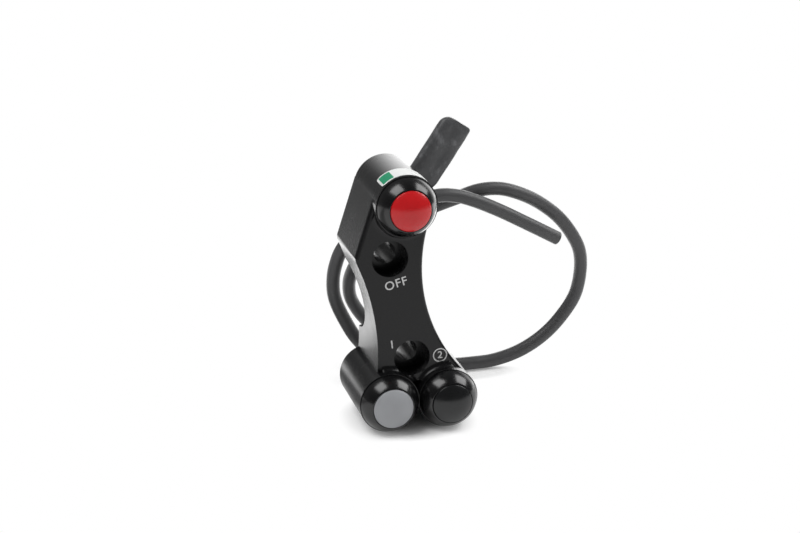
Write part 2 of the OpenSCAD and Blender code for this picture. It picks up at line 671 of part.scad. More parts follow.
rear_plug(lower_right_c, gland_d / 2 + fit_play);  // black_rear_plug
lead(red_route, [0.7, 0.1, 0.1]);  // red_lead
lead(grey_route, [0.6, 0.6, 0.6]);  // grey_lead
lead(black_route, [0.1, 0.1, 0.1]);  // black_lead
cable_gland();
gland_nut();
strain_relief();
cable();
splice_sleeve();
covered_tail();
label();
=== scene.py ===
"""Looks of a handlebar switch cluster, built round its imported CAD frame.

Sizes are millimetres, as a maker would write them, and meshes are metres in the frame's own axes:
+X right, +Y back, +Z up, with the buttons to the front.
"""

import functools
import json
import logging
import math
from collections.abc import Sequence
from dataclasses import dataclass, field
from enum import Enum

import bmesh
import bpy
import numpy as np
from mathutils import Matrix, Vector, noise


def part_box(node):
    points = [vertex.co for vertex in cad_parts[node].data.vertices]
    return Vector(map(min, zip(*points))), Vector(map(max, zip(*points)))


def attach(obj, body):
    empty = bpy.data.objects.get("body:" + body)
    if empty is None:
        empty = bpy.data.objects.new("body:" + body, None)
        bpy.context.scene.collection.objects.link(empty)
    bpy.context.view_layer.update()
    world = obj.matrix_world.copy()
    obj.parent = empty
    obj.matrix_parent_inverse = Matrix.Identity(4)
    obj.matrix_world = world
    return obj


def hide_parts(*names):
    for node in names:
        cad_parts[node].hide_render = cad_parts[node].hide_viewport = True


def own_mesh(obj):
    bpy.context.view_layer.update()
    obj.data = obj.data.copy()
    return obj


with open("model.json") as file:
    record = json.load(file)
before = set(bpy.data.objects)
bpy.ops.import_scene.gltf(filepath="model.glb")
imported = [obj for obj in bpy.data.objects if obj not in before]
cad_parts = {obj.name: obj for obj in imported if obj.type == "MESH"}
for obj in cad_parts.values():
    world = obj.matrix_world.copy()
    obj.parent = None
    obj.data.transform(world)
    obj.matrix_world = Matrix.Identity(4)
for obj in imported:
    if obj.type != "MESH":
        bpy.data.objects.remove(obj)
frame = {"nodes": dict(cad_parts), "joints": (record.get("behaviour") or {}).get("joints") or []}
log = logging.getLogger("switch_cluster")

MM = 0.001
TINY = 1e-6
WHITE = (1.0, 1.0, 1.0)
Colour = tuple[float, float, float]
Place = tuple[float, float, float]
Span = tuple[float, float]
Tone = Colour | bpy.types.NodeSocket
Profile = list[tuple[float, float]]


class Tint(Enum):
    """The three buttons, named for the colour of their caps."""

    RED = "red"
    GREY = "grey"
    BLACK = "black"


class Shade:
    """A socket in a material's node tree that takes part in plain arithmetic."""

    def __init__(self, graph: "Graph", socket: bpy.types.NodeSocket) -> None:
        """Keeps the graph and the socket that carries the value."""
        self.graph = graph
        self.socket = socket

    def _math(self, operation: str, a: "Shade | float", b: "Shade | float") -> "Shade":
        """One Math node of two terms."""
        made = self.graph.node("ShaderNodeMath", {"operation": operation}, {0: a, 1: b})
        return Shade(self.graph, made.outputs[0])

    def __add__(self, other: "Shade | float") -> "Shade":
        """The sum."""
        return self._math("ADD", self, other)

    __radd__ = __add__

    def __sub__(self, other: "Shade | float") -> "Shade":
        """The difference."""
        return self._math("SUBTRACT", self, other)

    def __rsub__(self, other: float) -> "Shade":
        """The difference from a number."""
        return self._math("SUBTRACT", other, self)

    def __mul__(self, other: "Shade | float") -> "Shade":
        """The product."""
        return self._math("MULTIPLY", self, other)

    __rmul__ = __mul__

    def __truediv__(self, other: "Shade | float") -> "Shade":
        """The quotient."""
        return self._math("DIVIDE", self, other)

    def at_most(self, other: "Shade | float") -> "Shade":
        """The smaller of the two."""
        return self._math("MINIMUM", self, other)

    def swing(self, amount: float) -> "Shade":
        """How far a value from 0 to 1 is from its middle, times an amount."""
        return (self - 0.5) * amount


class Graph:
    """A node tree of a material or a world, filled through one method."""

    def __init__(self, tree: bpy.types.NodeTree) -> None:
        """Empties the tree."""
        self.tree = tree
        tree.nodes.clear()

    def node(self, kind: str, settings: dict | None = None, inputs: dict | None = None) -> bpy.types.Node:
        """Adds one node.

        Args:
            kind: The node's type.
            settings: Its properties.
            inputs: Values or links of its sockets, by name or number.

        Returns:
            The new node.
        """
        made = self.tree.nodes.new(kind)
        for key, value in (settings or {}).items():
            setattr(made, key, value)
        for key, value in (inputs or {}).items():
            socket = made.inputs[key]
            if isinstance(value, Shade):
                self.tree.links.new(value.socket, socket)
            elif isinstance(value, bpy.types.NodeSocket):
                self.tree.links.new(value, socket)
            elif isinstance(value, tuple) and socket.type == "RGBA" and len(value) == 3:
                socket.default_value = (*value, 1.0)
            else:
                socket.default_value = value
        return made

    def value(self, kind: str, settings: dict | None = None, inputs: dict | None = None) -> Shade:
        """The first output of a new node, as a value for arithmetic."""
        return Shade(self, self.node(kind, settings, inputs).outputs[0])

    def place(self) -> bpy.types.NodeSocket:
        """The surface's own place in the object, in metres."""
        return self.node("ShaderNodeTexCoord").outputs["Object"]

    def parts(self, vector: bpy.types.NodeSocket) -> list[Shade]:
        """The three parts of a vector."""
        return [Shade(self, out) for out in self.node("ShaderNodeSeparateXYZ", None, {0: vector}).outputs]

    def rays(self) -> tuple[Shade, Shade]:
        """Whether a ray comes straight from the eye, and whether by a mirror or through glass.

        Returns:
            Two values that are 0 or 1.
        """
        path = self.node("ShaderNodeLightPath").outputs
        kinds = ("Camera", "Glossy", "Transmission")
        eye, glossy, through = (Shade(self, path[f"Is {kind} Ray"]) for kind in kinds)
        return eye, (glossy + through).at_most(1.0)

    def speckle(self, size_mm: float, detail: float = 2.0, rough: float = 0.5,
                scale: Colour = (1, 1, 1)) -> Shade:
        """Smooth noise whose spots are about as large as given.

        Args:
            size_mm: The size of a spot.
            detail: How many finer layers it has.
            rough: How strong those are.
            scale: Spots per axis, where they are longer one way.

        Returns:
            A value from 0 to 1, about 0.5 on average.
        """
        turned = self.node("ShaderNodeMapping", None, {"Vector": self.place(), "Scale": scale})
        return self.value("ShaderNodeTexNoise", None, {
            "Vector": turned.outputs[0], "Scale": 1.0 / (size_mm * MM),
            "Detail": detail, "Roughness": rough})

    def ramp(self, source: Shade, low: float, high: float) -> Shade:
        """Rises smoothly from 0 to 1 as a value goes from low to high, or falls where high is the lower.

        Args:
            source: The value.
            low: Where the result is 0.
            high: Where the result is 1.

        Returns:
            A value from 0 to 1.
        """
        if low > high:
            return 1.0 - self.ramp(source, high, low)
        return self.value("ShaderNodeMapRange", {"interpolation_type": "SMOOTHSTEP"}, {
            "Value": source, "From Min": low, "From Max": high})

    def blend(self, share: Shade, low: Tone, high: Tone) -> bpy.types.NodeSocket:
        """A colour between two, by a share from 0 to 1."""
        made = self.node("ShaderNodeMix", {"data_type": "RGBA"}, {0: share, 6: low, 7: high})
        return made.outputs[2]

    def relief(self, height: Shade, depth_mm: float, strength: float = 1.0) -> bpy.types.NodeSocket:
        """A normal from a height that goes from 0 to 1 over a depth."""
        return self.node("ShaderNodeBump", None, {
            "Strength": strength, "Distance": depth_mm * MM, "Height": height}).outputs[0]


@dataclass(frozen=True)
class Finish:
    """A surface finish that becomes one material.

    Attributes:
        name: The material's name.
        colour: Its colour, linear.
        rough: Its roughness.
    """

    name: str
    colour: Colour
    rough: float

    @functools.cache
    def material(self) -> bpy.types.Material:
        """The finish's material, made once.

        Returns:
            The material.
        """
        made = bpy.data.materials.new(f"{self.name}_finish")
        made.use_nodes = True
        graph = Graph(made.node_tree)
        surface = self.surface(graph)
        graph.node("ShaderNodeOutputMaterial", None, {"Surface": surface.outputs[0]})
        return made

    def surface(self, graph: Graph) -> bpy.types.Node:
        """The shader node of this finish."""
        raise NotImplementedError

    def shifted(self, share: float) -> Colour:
        """The colour made lighter or darker by a share of itself."""
        return tuple(max(0.0, c * (1 + share)) for c in self.colour)


@dataclass(frozen=True)
class Anodised(Finish):
    """Satin anodised metal, bead blasted: a fine even grain and faint clouds.

    Attributes:
        index: Index of refraction of the hard oxide skin.
        grain_mm: Size of the blasted grain.
        cloud_mm: Size of the clouds.
        dust_mm: Size of the specks of dust.
        dust: Colour of that dust.
        dust_share: How much of that colour shows.
    """

    index: float = 1.4
    grain_mm: float = 0.14
    cloud_mm: float = 9.0
    dust_mm: float = 0.5
    dust: Colour = (0.25, 0.25, 0.26)
    dust_share: float = 0.05

    def surface(self, graph: Graph) -> bpy.types.Node:
        """A dark skin whose gloss changes a little from place to place.

        Args:
            graph: The graph of the material.

        Returns:
            The shader node.
        """
        grain = graph.speckle(self.grain_mm, detail=2.0, rough=0.6)
        cloud = graph.speckle(self.cloud_mm, detail=3.0, rough=0.55)
        dust = graph.ramp(graph.speckle(self.dust_mm, detail=1.0), low=0.70, high=0.80)
        tone = graph.blend(cloud, self.shifted(-0.12), self.shifted(0.14))
        return graph.node("ShaderNodeBsdfPrincipled", None, {
            "Base Color": graph.blend(dust * self.dust_share, tone, self.dust),
            "Roughness": self.rough + cloud.swing(0.10) + grain.swing(0.06),
            "IOR": self.index,
            "Normal": graph.relief(grain, depth_mm=0.012, strength=0.35)})


@dataclass(frozen=True)
class Moulded(Finish):
    """Moulded plastic or hard rubber with a fine skin.

    Attributes:
        index: Index of refraction.
        grain_mm: Size of the skin's grain.
        depth_mm: Depth of that grain.
        cloud: How much its tone changes from place to place.
        cloud_mm: Size of those changes.
    """

    index: float = 1.47
    grain_mm: float = 0.25
    depth_mm: float = 0.006
    cloud: float = 0.06
    cloud_mm: float = 5.0

    def surface(self, graph: Graph) -> bpy.types.Node:
        """A tone with faint clouds, a fine grain and a little uneven gloss.

        Args:
            graph: The graph of the material.

        Returns:
            The shader node.
        """
        grain = graph.speckle(self.grain_mm, detail=2.0, rough=0.55)
        cloud = graph.speckle(self.cloud_mm, detail=3.0, rough=0.5)
        return graph.node("ShaderNodeBsdfPrincipled", None, {
            "Base Color": graph.blend(cloud, self.shifted(-self.cloud), self.shifted(self.cloud)),
            "Roughness": self.rough + cloud.swing(0.08) + grain.swing(0.05),
            "IOR": self.index,
            "Normal": graph.relief(grain, self.depth_mm, strength=0.3)})


@dataclass(frozen=True)
class Jacket(Finish):
    """Extruded cable jacket: matte, with a few scuffs and faint clouds.

    Attributes:
        index: Index of refraction.
        grain_mm: Size of its grain.
        cloud_mm: Size of the clouds.
        scuff_mm: Size of the scuffs.
    """

    index: float = 1.45
    grain_mm: float = 0.18
    cloud_mm: float = 7.0
    scuff_mm: float = 1.1

    def surface(self, graph: Graph) -> bpy.types.Node:
        """A matte tone with scuffs over a fine grain.

        Args:
            graph: The graph of the material.

        Returns:
            The shader node.
        """
        grain = graph.speckle(self.grain_mm, detail=3.0, rough=0.6)
        cloud = graph.speckle(self.cloud_mm, detail=3.0, rough=0.55)
        scuff = graph.ramp(graph.speckle(self.scuff_mm, detail=4.0, rough=0.65), low=0.60, high=0.78)
        tone = graph.blend(cloud, self.shifted(-0.18), self.shifted(0.20))
        return graph.node("ShaderNodeBsdfPrincipled", None, {
            "Base Color": graph.blend(scuff * 0.35, tone, self.shifted(1.1)),
            "Roughness": self.rough + cloud.swing(0.12) + scuff * 0.08,
            "IOR": self.index,
            "Normal": graph.relief(grain + cloud * 0.6, depth_mm=0.03, strength=0.35)})


@dataclass(frozen=True)
class ShrunkSleeve(Finish):
    """Shrunk sleeve: satin film with pale handling marks and fine wrinkles.

    Attributes:
        index: Index of refraction.
        cloud_mm: Size of the clouds.
        smudge_mm: Size of the handling marks.
        crease_mm: Width of the wrinkles.
    """

    index: float = 1.45
    cloud_mm: float = 4.5
    smudge_mm: float = 3.2
    crease_mm: float = 0.8

    def surface(self, graph: Graph) -> bpy.types.Node:
        """A satin film, smudged in patches.

        Args:
            graph: The graph of the material.

        Returns:
            The shader node.
        """
        cloud = graph.speckle(self.cloud_mm, detail=4.0, rough=0.6)
        marks = graph.speckle(self.smudge_mm, detail=3.0, rough=0.55, scale=(1.0, 1.0, 0.7))
        smudge = graph.ramp(marks, low=0.52, high=0.74)
        crease = graph.speckle(self.crease_mm, detail=3.0, rough=0.6, scale=(1.0, 1.0, 0.35))
        return graph.node("ShaderNodeBsdfPrincipled", None, {
            "Base Color": graph.blend(smudge * 0.75, self.colour, self.shifted(1.5)),
            "Roughness": self.rough + cloud.swing(0.15) + smudge * 0.12,
            "IOR": self.index,
            "Normal": graph.relief(crease + cloud, depth_mm=0.10, strength=0.4)})


@dataclass(frozen=True)
class BareMetal(Finish):
    """Bright drawn or plated metal.

    Attributes:
        mark_mm: Width of the drawing marks.
    """

    mark_mm: float = 0.12

    def surface(self, graph: Graph) -> bpy.types.Node:
        """Metal with fine drawing marks.

        Args:
            graph: The graph of the material.

        Returns:
            The shader node.
        """
        mark = graph.speckle(self.mark_mm, detail=3.0, rough=0.6, scale=(1.0, 0.2, 1.0))
        return graph.node("ShaderNodeBsdfPrincipled", None, {
            "Base Color": graph.blend(mark, self.shifted(-0.12), self.shifted(0.08)), "Metallic": 1.0,
            "Roughness": self.rough + mark.swing(0.15),
            "Normal": graph.relief(mark, depth_mm=0.004, strength=0.4)})


@dataclass(frozen=True)
class LabelFilm(Finish):
    """White film with a printed block at one end, laid out on the film's own UV map.

    Attributes:
        block: Colour of the printed block.
        length: Length of the film.
        width: Width of the film.
        margin: White border round the block.
        block_end: Where the block ends, from the film's end.
        soft: Softness of the block's edges.
        index: Index of refraction.
        cloud_mm: Size of the rubbed clouds.
    """

    block: Colour = (0.022, 0.27, 0.135)
    length: float = 15.4
    width: float = 7.5
    margin: float = 0.7
    block_end: float = 4.4
    soft: float = 0.06
    index: float = 1.25
    cloud_mm: float = 1.6

    def between(self, graph: Graph, place: Shade, start: float, end: float) -> Shade:
        """1 where a place lies between a start and an end, with soft edges."""
        return (graph.ramp(place, start - self.soft, start + self.soft)
                * graph.ramp(place, end + self.soft, end - self.soft))

    def surface(self, graph: Graph) -> bpy.types.Node:
        """White film, the block, and faint rubbed clouds.

        Args:
            graph: The graph of the material.

        Returns:
            The shader node.
        """
        u, v, _ = graph.parts(graph.node("ShaderNodeUVMap").outputs[0])
        inside = (self.between(graph, u * self.length, self.margin, self.block_end)
                  * self.between(graph, v * self.width, self.margin, self.width - self.margin))
        cloud = graph.speckle(self.cloud_mm, detail=3.0)
        film = graph.blend(cloud, self.shifted(-0.05), self.shifted(0.03))
        ink = graph.blend(cloud, self.block, tuple(c * 1.25 for c in self.block))
        return graph.node("ShaderNodeBsdfPrincipled", None, {
            "Base Color": graph.blend(inside, film, ink), "Roughness": self.rough + cloud.swing(0.1),
            "IOR": self.index})


class Finishes:
    """Every finish on the object."""

    BODY = Anodised("satin_black_anodised", (0.0050, 0.0050, 0.0055), 0.26, index=1.36)
    PLUG = Anodised("turned_black_anodised", (0.0068, 0.0068, 0.0074), 0.24, index=1.4)
    BEZEL = Moulded("gloss_black_bezel", (0.0042, 0.0042, 0.0046), 0.20, 1.54, grain_mm=0.6, depth_mm=0.002)
    CAPS = {
        Tint.RED: Moulded("red_cap_plastic", (0.58, 0.009, 0.012), 0.24, depth_mm=0.003),
        Tint.GREY: Moulded("grey_cap_plastic", (0.320, 0.327, 0.342), 0.40, depth_mm=0.004),
        Tint.BLACK: Moulded("black_cap_plastic", (0.0080, 0.0086, 0.0090), 0.24, depth_mm=0.003)}
    SEAL = Moulded("seal_rubber", (0.006, 0.006, 0.006), 0.62, index=1.4)
    BOOT = Moulded("boot_rubber", (0.012, 0.012, 0.0125), 0.55, index=1.42, grain_mm=0.3, depth_mm=0.02)
    CABLE = Jacket("cable_jacket", (0.072, 0.072, 0.074), 0.44)
    SLEEVE = ShrunkSleeve("shrunk_sleeve", (0.074, 0.075, 0.078), 0.42)
    PRINT = Moulded("legend_print", (0.62, 0.62, 0.62), 0.5, grain_mm=0.12, depth_mm=0.006, cloud=0.12)
    LABEL = LabelFilm("label_film", (0.82, 0.83, 0.82), 0.65)
    NYLON = Moulded("natural_nylon", (0.70, 0.67, 0.58), 0.45)
    SWITCH = Moulded("switch_plastic", (0.014, 0.014, 0.015), 0.45)
    LAMINATE = Moulded("board_laminate", (0.010, 0.085, 0.035), 0.35)
    STEEL = BareMetal("spring_steel", (0.62, 0.62, 0.64), 0.28)
    COPPER = BareMetal("copper_strand", (0.75, 0.36, 0.20), 0.32)
    LEADS = {
        Tint.RED: Moulded("red_insulation", (0.45, 0.015, 0.015), 0.42),
        Tint.GREY: Moulded("grey_insulation", (0.32, 0.32, 0.33), 0.42),
        Tint.BLACK: Moulded("black_insulation", (0.015, 0.015, 0.015), 0.42)}


def as_object(name: str, mesh: bpy.types.Mesh, finish: Finish, sharp_deg: float = 38.0) -> bpy.types.Object:
    """Puts a mesh in the scene at the origin, smooth but for its sharp edges.

    Args:
        name: The piece's name.
        mesh: Its mesh, in the frame's axes.
        finish: Its finish.
        sharp_deg: Edges that turn more than this stay sharp.

    Returns:
        The new object.
    """
    mesh.materials.clear()
    mesh.materials.append(finish.material())
    mesh.shade_smooth()
    mesh.set_sharp_from_angle(angle=math.radians(sharp_deg))
    made = bpy.data.objects.new(name, mesh)
    bpy.context.scene.collection.objects.link(made)
    return made


def tidied(mesh: bpy.types.Mesh) -> bpy.types.Mesh:
    """Merges a mesh's doubles and points its faces outwards.

    Args:
        mesh: A closed mesh.

    Returns:
        The same mesh.
    """
    weld = 1e-7
    tidy = bmesh.new()
    tidy.from_mesh(mesh)
    bmesh.ops.remove_doubles(tidy, verts=tidy.verts, dist=weld)
    bmesh.ops.recalc_face_normals(tidy, faces=tidy.faces)
    tidy.to_mesh(mesh)
    tidy.free()
    return mesh


def mesh_of(name: str, points: Sequence[Sequence[float]], faces: Sequence[Sequence[int]]) -> bpy.types.Mesh:
    """A mesh with merged doubles and faces that point outwards.

    Args:
        name: The mesh's name.
        points: Its points, in metres.
        faces: Its faces, as numbers of points.

    Returns:
        The mesh.
    """
    mesh = bpy.data.meshes.new(name)
    mesh.from_pydata([tuple(p) for p in points], [], [tuple(f) for f in faces])
    return tidied(mesh)


def softened(corners: Sequence[tuple[float, float, float]], steps: int = 5) -> Profile:
    """Rounds the corners of a closed profile.

    Args:
        corners: Radius, place and rounding of each corner, in millimetres.
        steps: Points on each rounding.

    Returns:
        The profile's points.
    """
    most = 0.45
    made: Profile = []
    for i, (r, s, size) in enumerate(corners):
        here = np.array((r, s))
        before = np.array(corners[i - 1][:2]) - here
        after = np.array(corners[(i + 1) % len(corners)][:2]) - here
        reach = min(size, most * np.linalg.norm(before), most * np.linalg.norm(after))
        if reach < TINY:
            made.append((r, s))
            continue
        a = here + before / np.linalg.norm(before) * reach
        b = here + after / np.linalg.norm(after) * reach
        for t in np.linspace(0, 1, steps):
            made.append(tuple((1 - t) ** 2 * a + 2 * t * (1 - t) * here + t * t * b))
    return made


def turned(name: str, axis: Vector, profile: Profile, sides: int = 96) -> bpy.types.Mesh:
    """A piece turned about an axis that runs back from a place.

    Args:
        name: The mesh's name.
        axis: Where the axis starts, in metres.
        profile: A closed profile of radius and place along the axis, in millimetres.
        sides: Steps round the axis.

    Returns:
        The mesh.
    """
    points, faces = [], []
    count = len(profile)
    for k in range(sides):
        a = 2 * math.pi * k / sides
        for r, s in profile:
            points.append((axis.x + r * MM * math.cos(a), axis.y + s * MM, axis.z + r * MM * math.sin(a)))
    for k in range(sides):
        m = (k + 1) % sides
        for i in range(count):
            j = (i + 1) % count
            if profile[i][0] < TINY and profile[j][0] < TINY:
                continue
            faces.append((k * count + i, k * count + j, m * count + j, m * count + i))
    return mesh_of(name, points, faces)


def lofted(name: str, rings: Sequence[Sequence[Vector]]) -> bpy.types.Mesh:
    """A closed skin over rings, its two ends closed by a point in their middle.

    Args:
        name: The mesh's name.
        rings: Rings of the same count of points, in metres.

    Returns:
        The mesh.
    """
    count = len(rings[0])
    points = [p for ring in rings for p in ring]
    faces = []
    for start in range(0, (len(rings) - 1) * count, count):
        for k in range(count):
            m = (k + 1) % count
            faces.append((start + k, start + m, start + count + m, start + count + k))
    for end in (0, len(rings) - 1):
        middle = sum(rings[end], Vector()) / count
        points.append(middle)
        faces += [(len(points) - 1, end * count + k, end * count + (k + 1) % count) for k in range(count)]
    return mesh_of(name, points, faces)


def crosswise(way: Vector) -> tuple[Vector, Vector]:
    """Two directions across a way: level, and over it.

    Args:
        way: The way, of any length.

    Returns:
        The two directions.
    """
    heading = way.normalized()
    side = heading.cross(Vector((0, 0, 1))).normalized()
    return side, side.cross(heading)


def spokes(side: Vector, over: Vector, count: int) -> list[Vector]:
    """Directions evenly round a circle that two directions span."""
    angles = [2 * math.pi * k / count for k in range(count)]
    return [side * math.cos(a) + over * math.sin(a) for a in angles]


class TubeTree:
    """A geometry tree that sweeps a round tube along a line of points."""

    def __init__(self) -> None:
        """Builds the tree, with inputs for radius, sides and material."""
        tree = bpy.data.node_groups.new("swept_tube", "GeometryNodeTree")
        face = tree.interface
        face.new_socket("Line", in_out="INPUT", socket_type="NodeSocketGeometry")
        self.radius = face.new_socket("Radius", in_out="INPUT", socket_type="NodeSocketFloat").identifier
        self.sides = face.new_socket("Sides", in_out="INPUT", socket_type="NodeSocketInt").identifier
        self.finish = face.new_socket("Finish", in_out="INPUT", socket_type="NodeSocketMaterial").identifier
        face.new_socket("Tube", in_out="OUTPUT", socket_type="NodeSocketGeometry")
        nodes, link = tree.nodes, tree.links.new
        given = nodes.new("NodeGroupInput")
        curve = nodes.new("GeometryNodeMeshToCurve")
        ring = nodes.new("GeometryNodeCurvePrimitiveCircle")
        sweep = nodes.new("GeometryNodeCurveToMesh")
        sweep.inputs["Fill Caps"].default_value = True
        real = nodes.new("GeometryNodeRealizeInstances")
        dressed = nodes.new("GeometryNodeSetMaterial")
        out = nodes.new("NodeGroupOutput")
        link(given.outputs["Line"], curve.inputs["Mesh"])
        link(given.outputs["Radius"], ring.inputs["Radius"])
        link(given.outputs["Sides"], ring.inputs["Resolution"])
        link(curve.outputs["Curve"], sweep.inputs["Curve"])
        link(ring.outputs["Curve"], sweep.inputs["Profile Curve"])
        link(sweep.outputs["Mesh"], real.inputs[0])
        link(real.outputs[0], dressed.inputs["Geometry"])
        link(given.outputs["Finish"], dressed.inputs["Material"])
        link(dressed.outputs[0], out.inputs["Tube"])
        self.tree = tree

    def sweep(self, name: str, line: Sequence[Vector], radius_mm: float, sides: int,
              finish: Finish) -> bpy.types.Object:
        """Sweeps one tube and turns it into a plain mesh.

        Args:
            name: The piece's name.
            line: The middle line, in metres.
            radius_mm: The tube's radius.
            sides: Its sides.
            finish: Its finish.

        Returns:
            The new object, with no modifier left.
        """
        path = bpy.data.meshes.new(name + "_line")
        path.from_pydata([tuple(p) for p in line], [(i, i + 1) for i in range(len(line) - 1)], [])
        carrier = bpy.data.objects.new(name + "_line", path)
        bpy.context.scene.collection.objects.link(carrier)
        modifier = carrier.modifiers.new("tube", "NODES")
        modifier.node_group = self.tree
        modifier[self.radius] = radius_mm * MM
        modifier[self.sides] = sides
        modifier[self.finish] = finish.material()
        ready = carrier.evaluated_get(bpy.context.evaluated_depsgraph_get())
        mesh = bpy.data.meshes.new_from_object(ready)
        mesh.name = name
        bpy.data.objects.remove(carrier)
        bpy.data.meshes.remove(path)
        return as_object(name, tidied(mesh), finish)


def smooth_line(points: Sequence[Sequence[float]], steps: int) -> list[Vector]:
    """The smooth curve through a route's points, as the frame's own source draws it.

    Args:
        points: The route's points.
        steps: Steps from one point to the next.

    Returns:
        Points on the curve.
    """
    p = [np.array(q, float) for q in points]
    made: list[Vector] = []
    for i in range(len(p) - 1):
        for k in range(steps):
            made.append(Vector(stretch(p, i, k / steps)))
    made.append(Vector(p[-1]))
    return made


def stretch(p: Sequence[np.ndarray], i: int, t: float) -> np.ndarray:
    """A place on one stretch of a route.

    Args:
        p: The route's points.
        i: The point that the stretch starts at.
        t: The place on the stretch, from 0 to 1.

    Returns:
        The place.
    """
    a, b, c, d = p[max(i - 1, 0)], p[i], p[i + 1], p[min(i + 2, len(p) - 1)]
    square, cube = 2 * a - 5 * b + 4 * c - d, 3 * b - a - 3 * c + d
    return 0.5 * (2 * b + (c - a) * t + square * t ** 2 + cube * t ** 3)


@dataclass(frozen=True)
class Datum:
    """Where the housing's own places start in the frame: between the lower buttons, on the front face.

    Attributes:
        body_depth: From the front face to the clamp face.
    """

    body_depth: float = 24.0

    def at(self, x: float, y: float, z: float) -> Vector:
        """A place of the housing in the frame.

        Args:
            x: To the right of the middle between the lower buttons.
            y: Behind the front face.
            z: Above the table.

        Returns:
            The place, in metres.
        """
        left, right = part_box("grey_cap"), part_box("black_cap")
        middle = (left[0].x + right[1].x) / 2
        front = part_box("housing")[1].y - self.body_depth * MM
        return Vector((middle + x * MM, front + y * MM, z * MM))


def axis_of(node: str) -> Vector:
    """Where the axis of a turned node starts, at its front."""
    low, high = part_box(node)
    return Vector(((low.x + high.x) / 2, low.y, (low.z + high.z) / 2))


def ridden(piece: bpy.types.Object, body: str, slot: str, *nodes: str) -> bpy.types.Object:
    """Ties a finished piece to its body and hides the nodes that it stands for.

    Args:
        piece: The piece.
        body: The body that it rides on.
        slot: Its material slot, not used.
        *nodes: The nodes that it stands for.

    Returns:
        The piece.
    """
    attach(piece, body)
    if nodes:
        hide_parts(*nodes)
    log.info("%s rides on %s", piece.name, body)
    return piece


def dress(node: str, finish: Finish) -> None:
    """Gives a node of the frame its material.

    Args:
        node: The node.
        finish: Its finish.
    """
    thing = frame["nodes"][node]
    if thing.material_slots:
        for place in thing.material_slots:
            place.material = finish.material()
    else:
        thing.data.materials.append(finish.material())
    log.info("%s is dressed", node)


@dataclass(frozen=True)
class Softbox:
    """A soft lamp.

    Attributes:
        name: The lamp's name.
        place: Where it stands, in metres.
        size: Its width and height, in metres.
        power: Its power, in watts.
    """

    name: str
    place: Place
    size: tuple[float, float]
    power: float

    def build(self, aim: Place) -> None:
        """Adds the lamp.

        Args:
            aim: The place that it looks at.
        """
        data = bpy.data.lights.new(self.name, "AREA")
        data.shape = "RECTANGLE"
        data.size, data.size_y = self.size
        data.energy = self.power
        made = bpy.data.objects.new(self.name, data)
        made.location = self.place
        made.rotation_euler = (Vector(aim) - Vector(self.place)).to_track_quat("-Z", "Y").to_euler()
        bpy.context.scene.collection.objects.link(made)


@dataclass(frozen=True)
class Oval:
    """An oval patch of the table, soft at its rim.

    Attributes:
        middle: Its middle, in metres.
        reach: Its half width and half depth, in metres.
        rim: Where its rim starts and ends, as squared shares of its reach.
    """

    middle: tuple[float, float]
    reach: tuple[float, float]
    rim: Span

    def apart(self, x: Shade, y: Shade) -> Shade:
        """How far a place is from the middle, as a squared share of the reach."""
        across, along = (x - self.middle[0]) / self.reach[0], (y - self.middle[1]) / self.reach[1]
        return across * across + along * along

    def outside(self, graph: Graph, x: Shade, y: Shade) -> Shade:
        """0 in the oval, rising to 1 outside it."""
        return graph.ramp(self.apart(x, y), *self.rim)


@dataclass(frozen=True)
class Backdrop:
    """What lies round the table: white for the eye, and for reflections a dim room with a screen behind.

    Each span holds the directions between which a part of it fades in.

    Attributes:
        ambient: Strength of its light on the object.
        room: Strength of the dim room.
        rear: How far back a direction points where the screen shows.
        screen_x: The screen's left edge.
        screen_z: The screen's upper edge.
        screen_glow: Strength of the screen.
        skirt_z: The upper edge of the white below the screen.
        haze_y: Where the room grows lighter to the back.
        haze: Strength that it gains there.
    """

    ambient: float = 0.31
    room: float = 0.08
    rear: Span = (0.3, 0.7)
    screen_x: Span = (-0.30, 0.34)
    screen_z: Span = (0.60, 0.36)
    screen_glow: float = 2.6
    skirt_z: Span = (-0.10, -0.24)
    haze_y: Span = (-0.3, 0.5)
    haze: float = 0.10

    def build(self) -> None:
        """Makes the world."""
        world = bpy.data.worlds.new("studio")
        world.use_nodes = True
        bpy.context.scene.world = world
        graph = Graph(world.node_tree)
        eye, mirrored = graph.rays()
        x, y, z = graph.parts(graph.node("ShaderNodeTexCoord").outputs["Generated"])
        rear = graph.ramp(y, *self.rear)
        screen = graph.ramp(x, *self.screen_x) * rear * graph.ramp(z, *self.screen_z)
        skirt = rear * graph.ramp(z, *self.skirt_z)
        seen = screen * self.screen_glow + skirt + graph.ramp(y, *self.haze_y) * self.haze + self.room
        strength = eye + mirrored * seen + (1.0 - eye - mirrored) * self.ambient
        light = graph.node("ShaderNodeBackground", None, {"Color": WHITE, "Strength": strength})
        graph.node("ShaderNodeOutputWorld", None, {"Surface": light.outputs[0]})


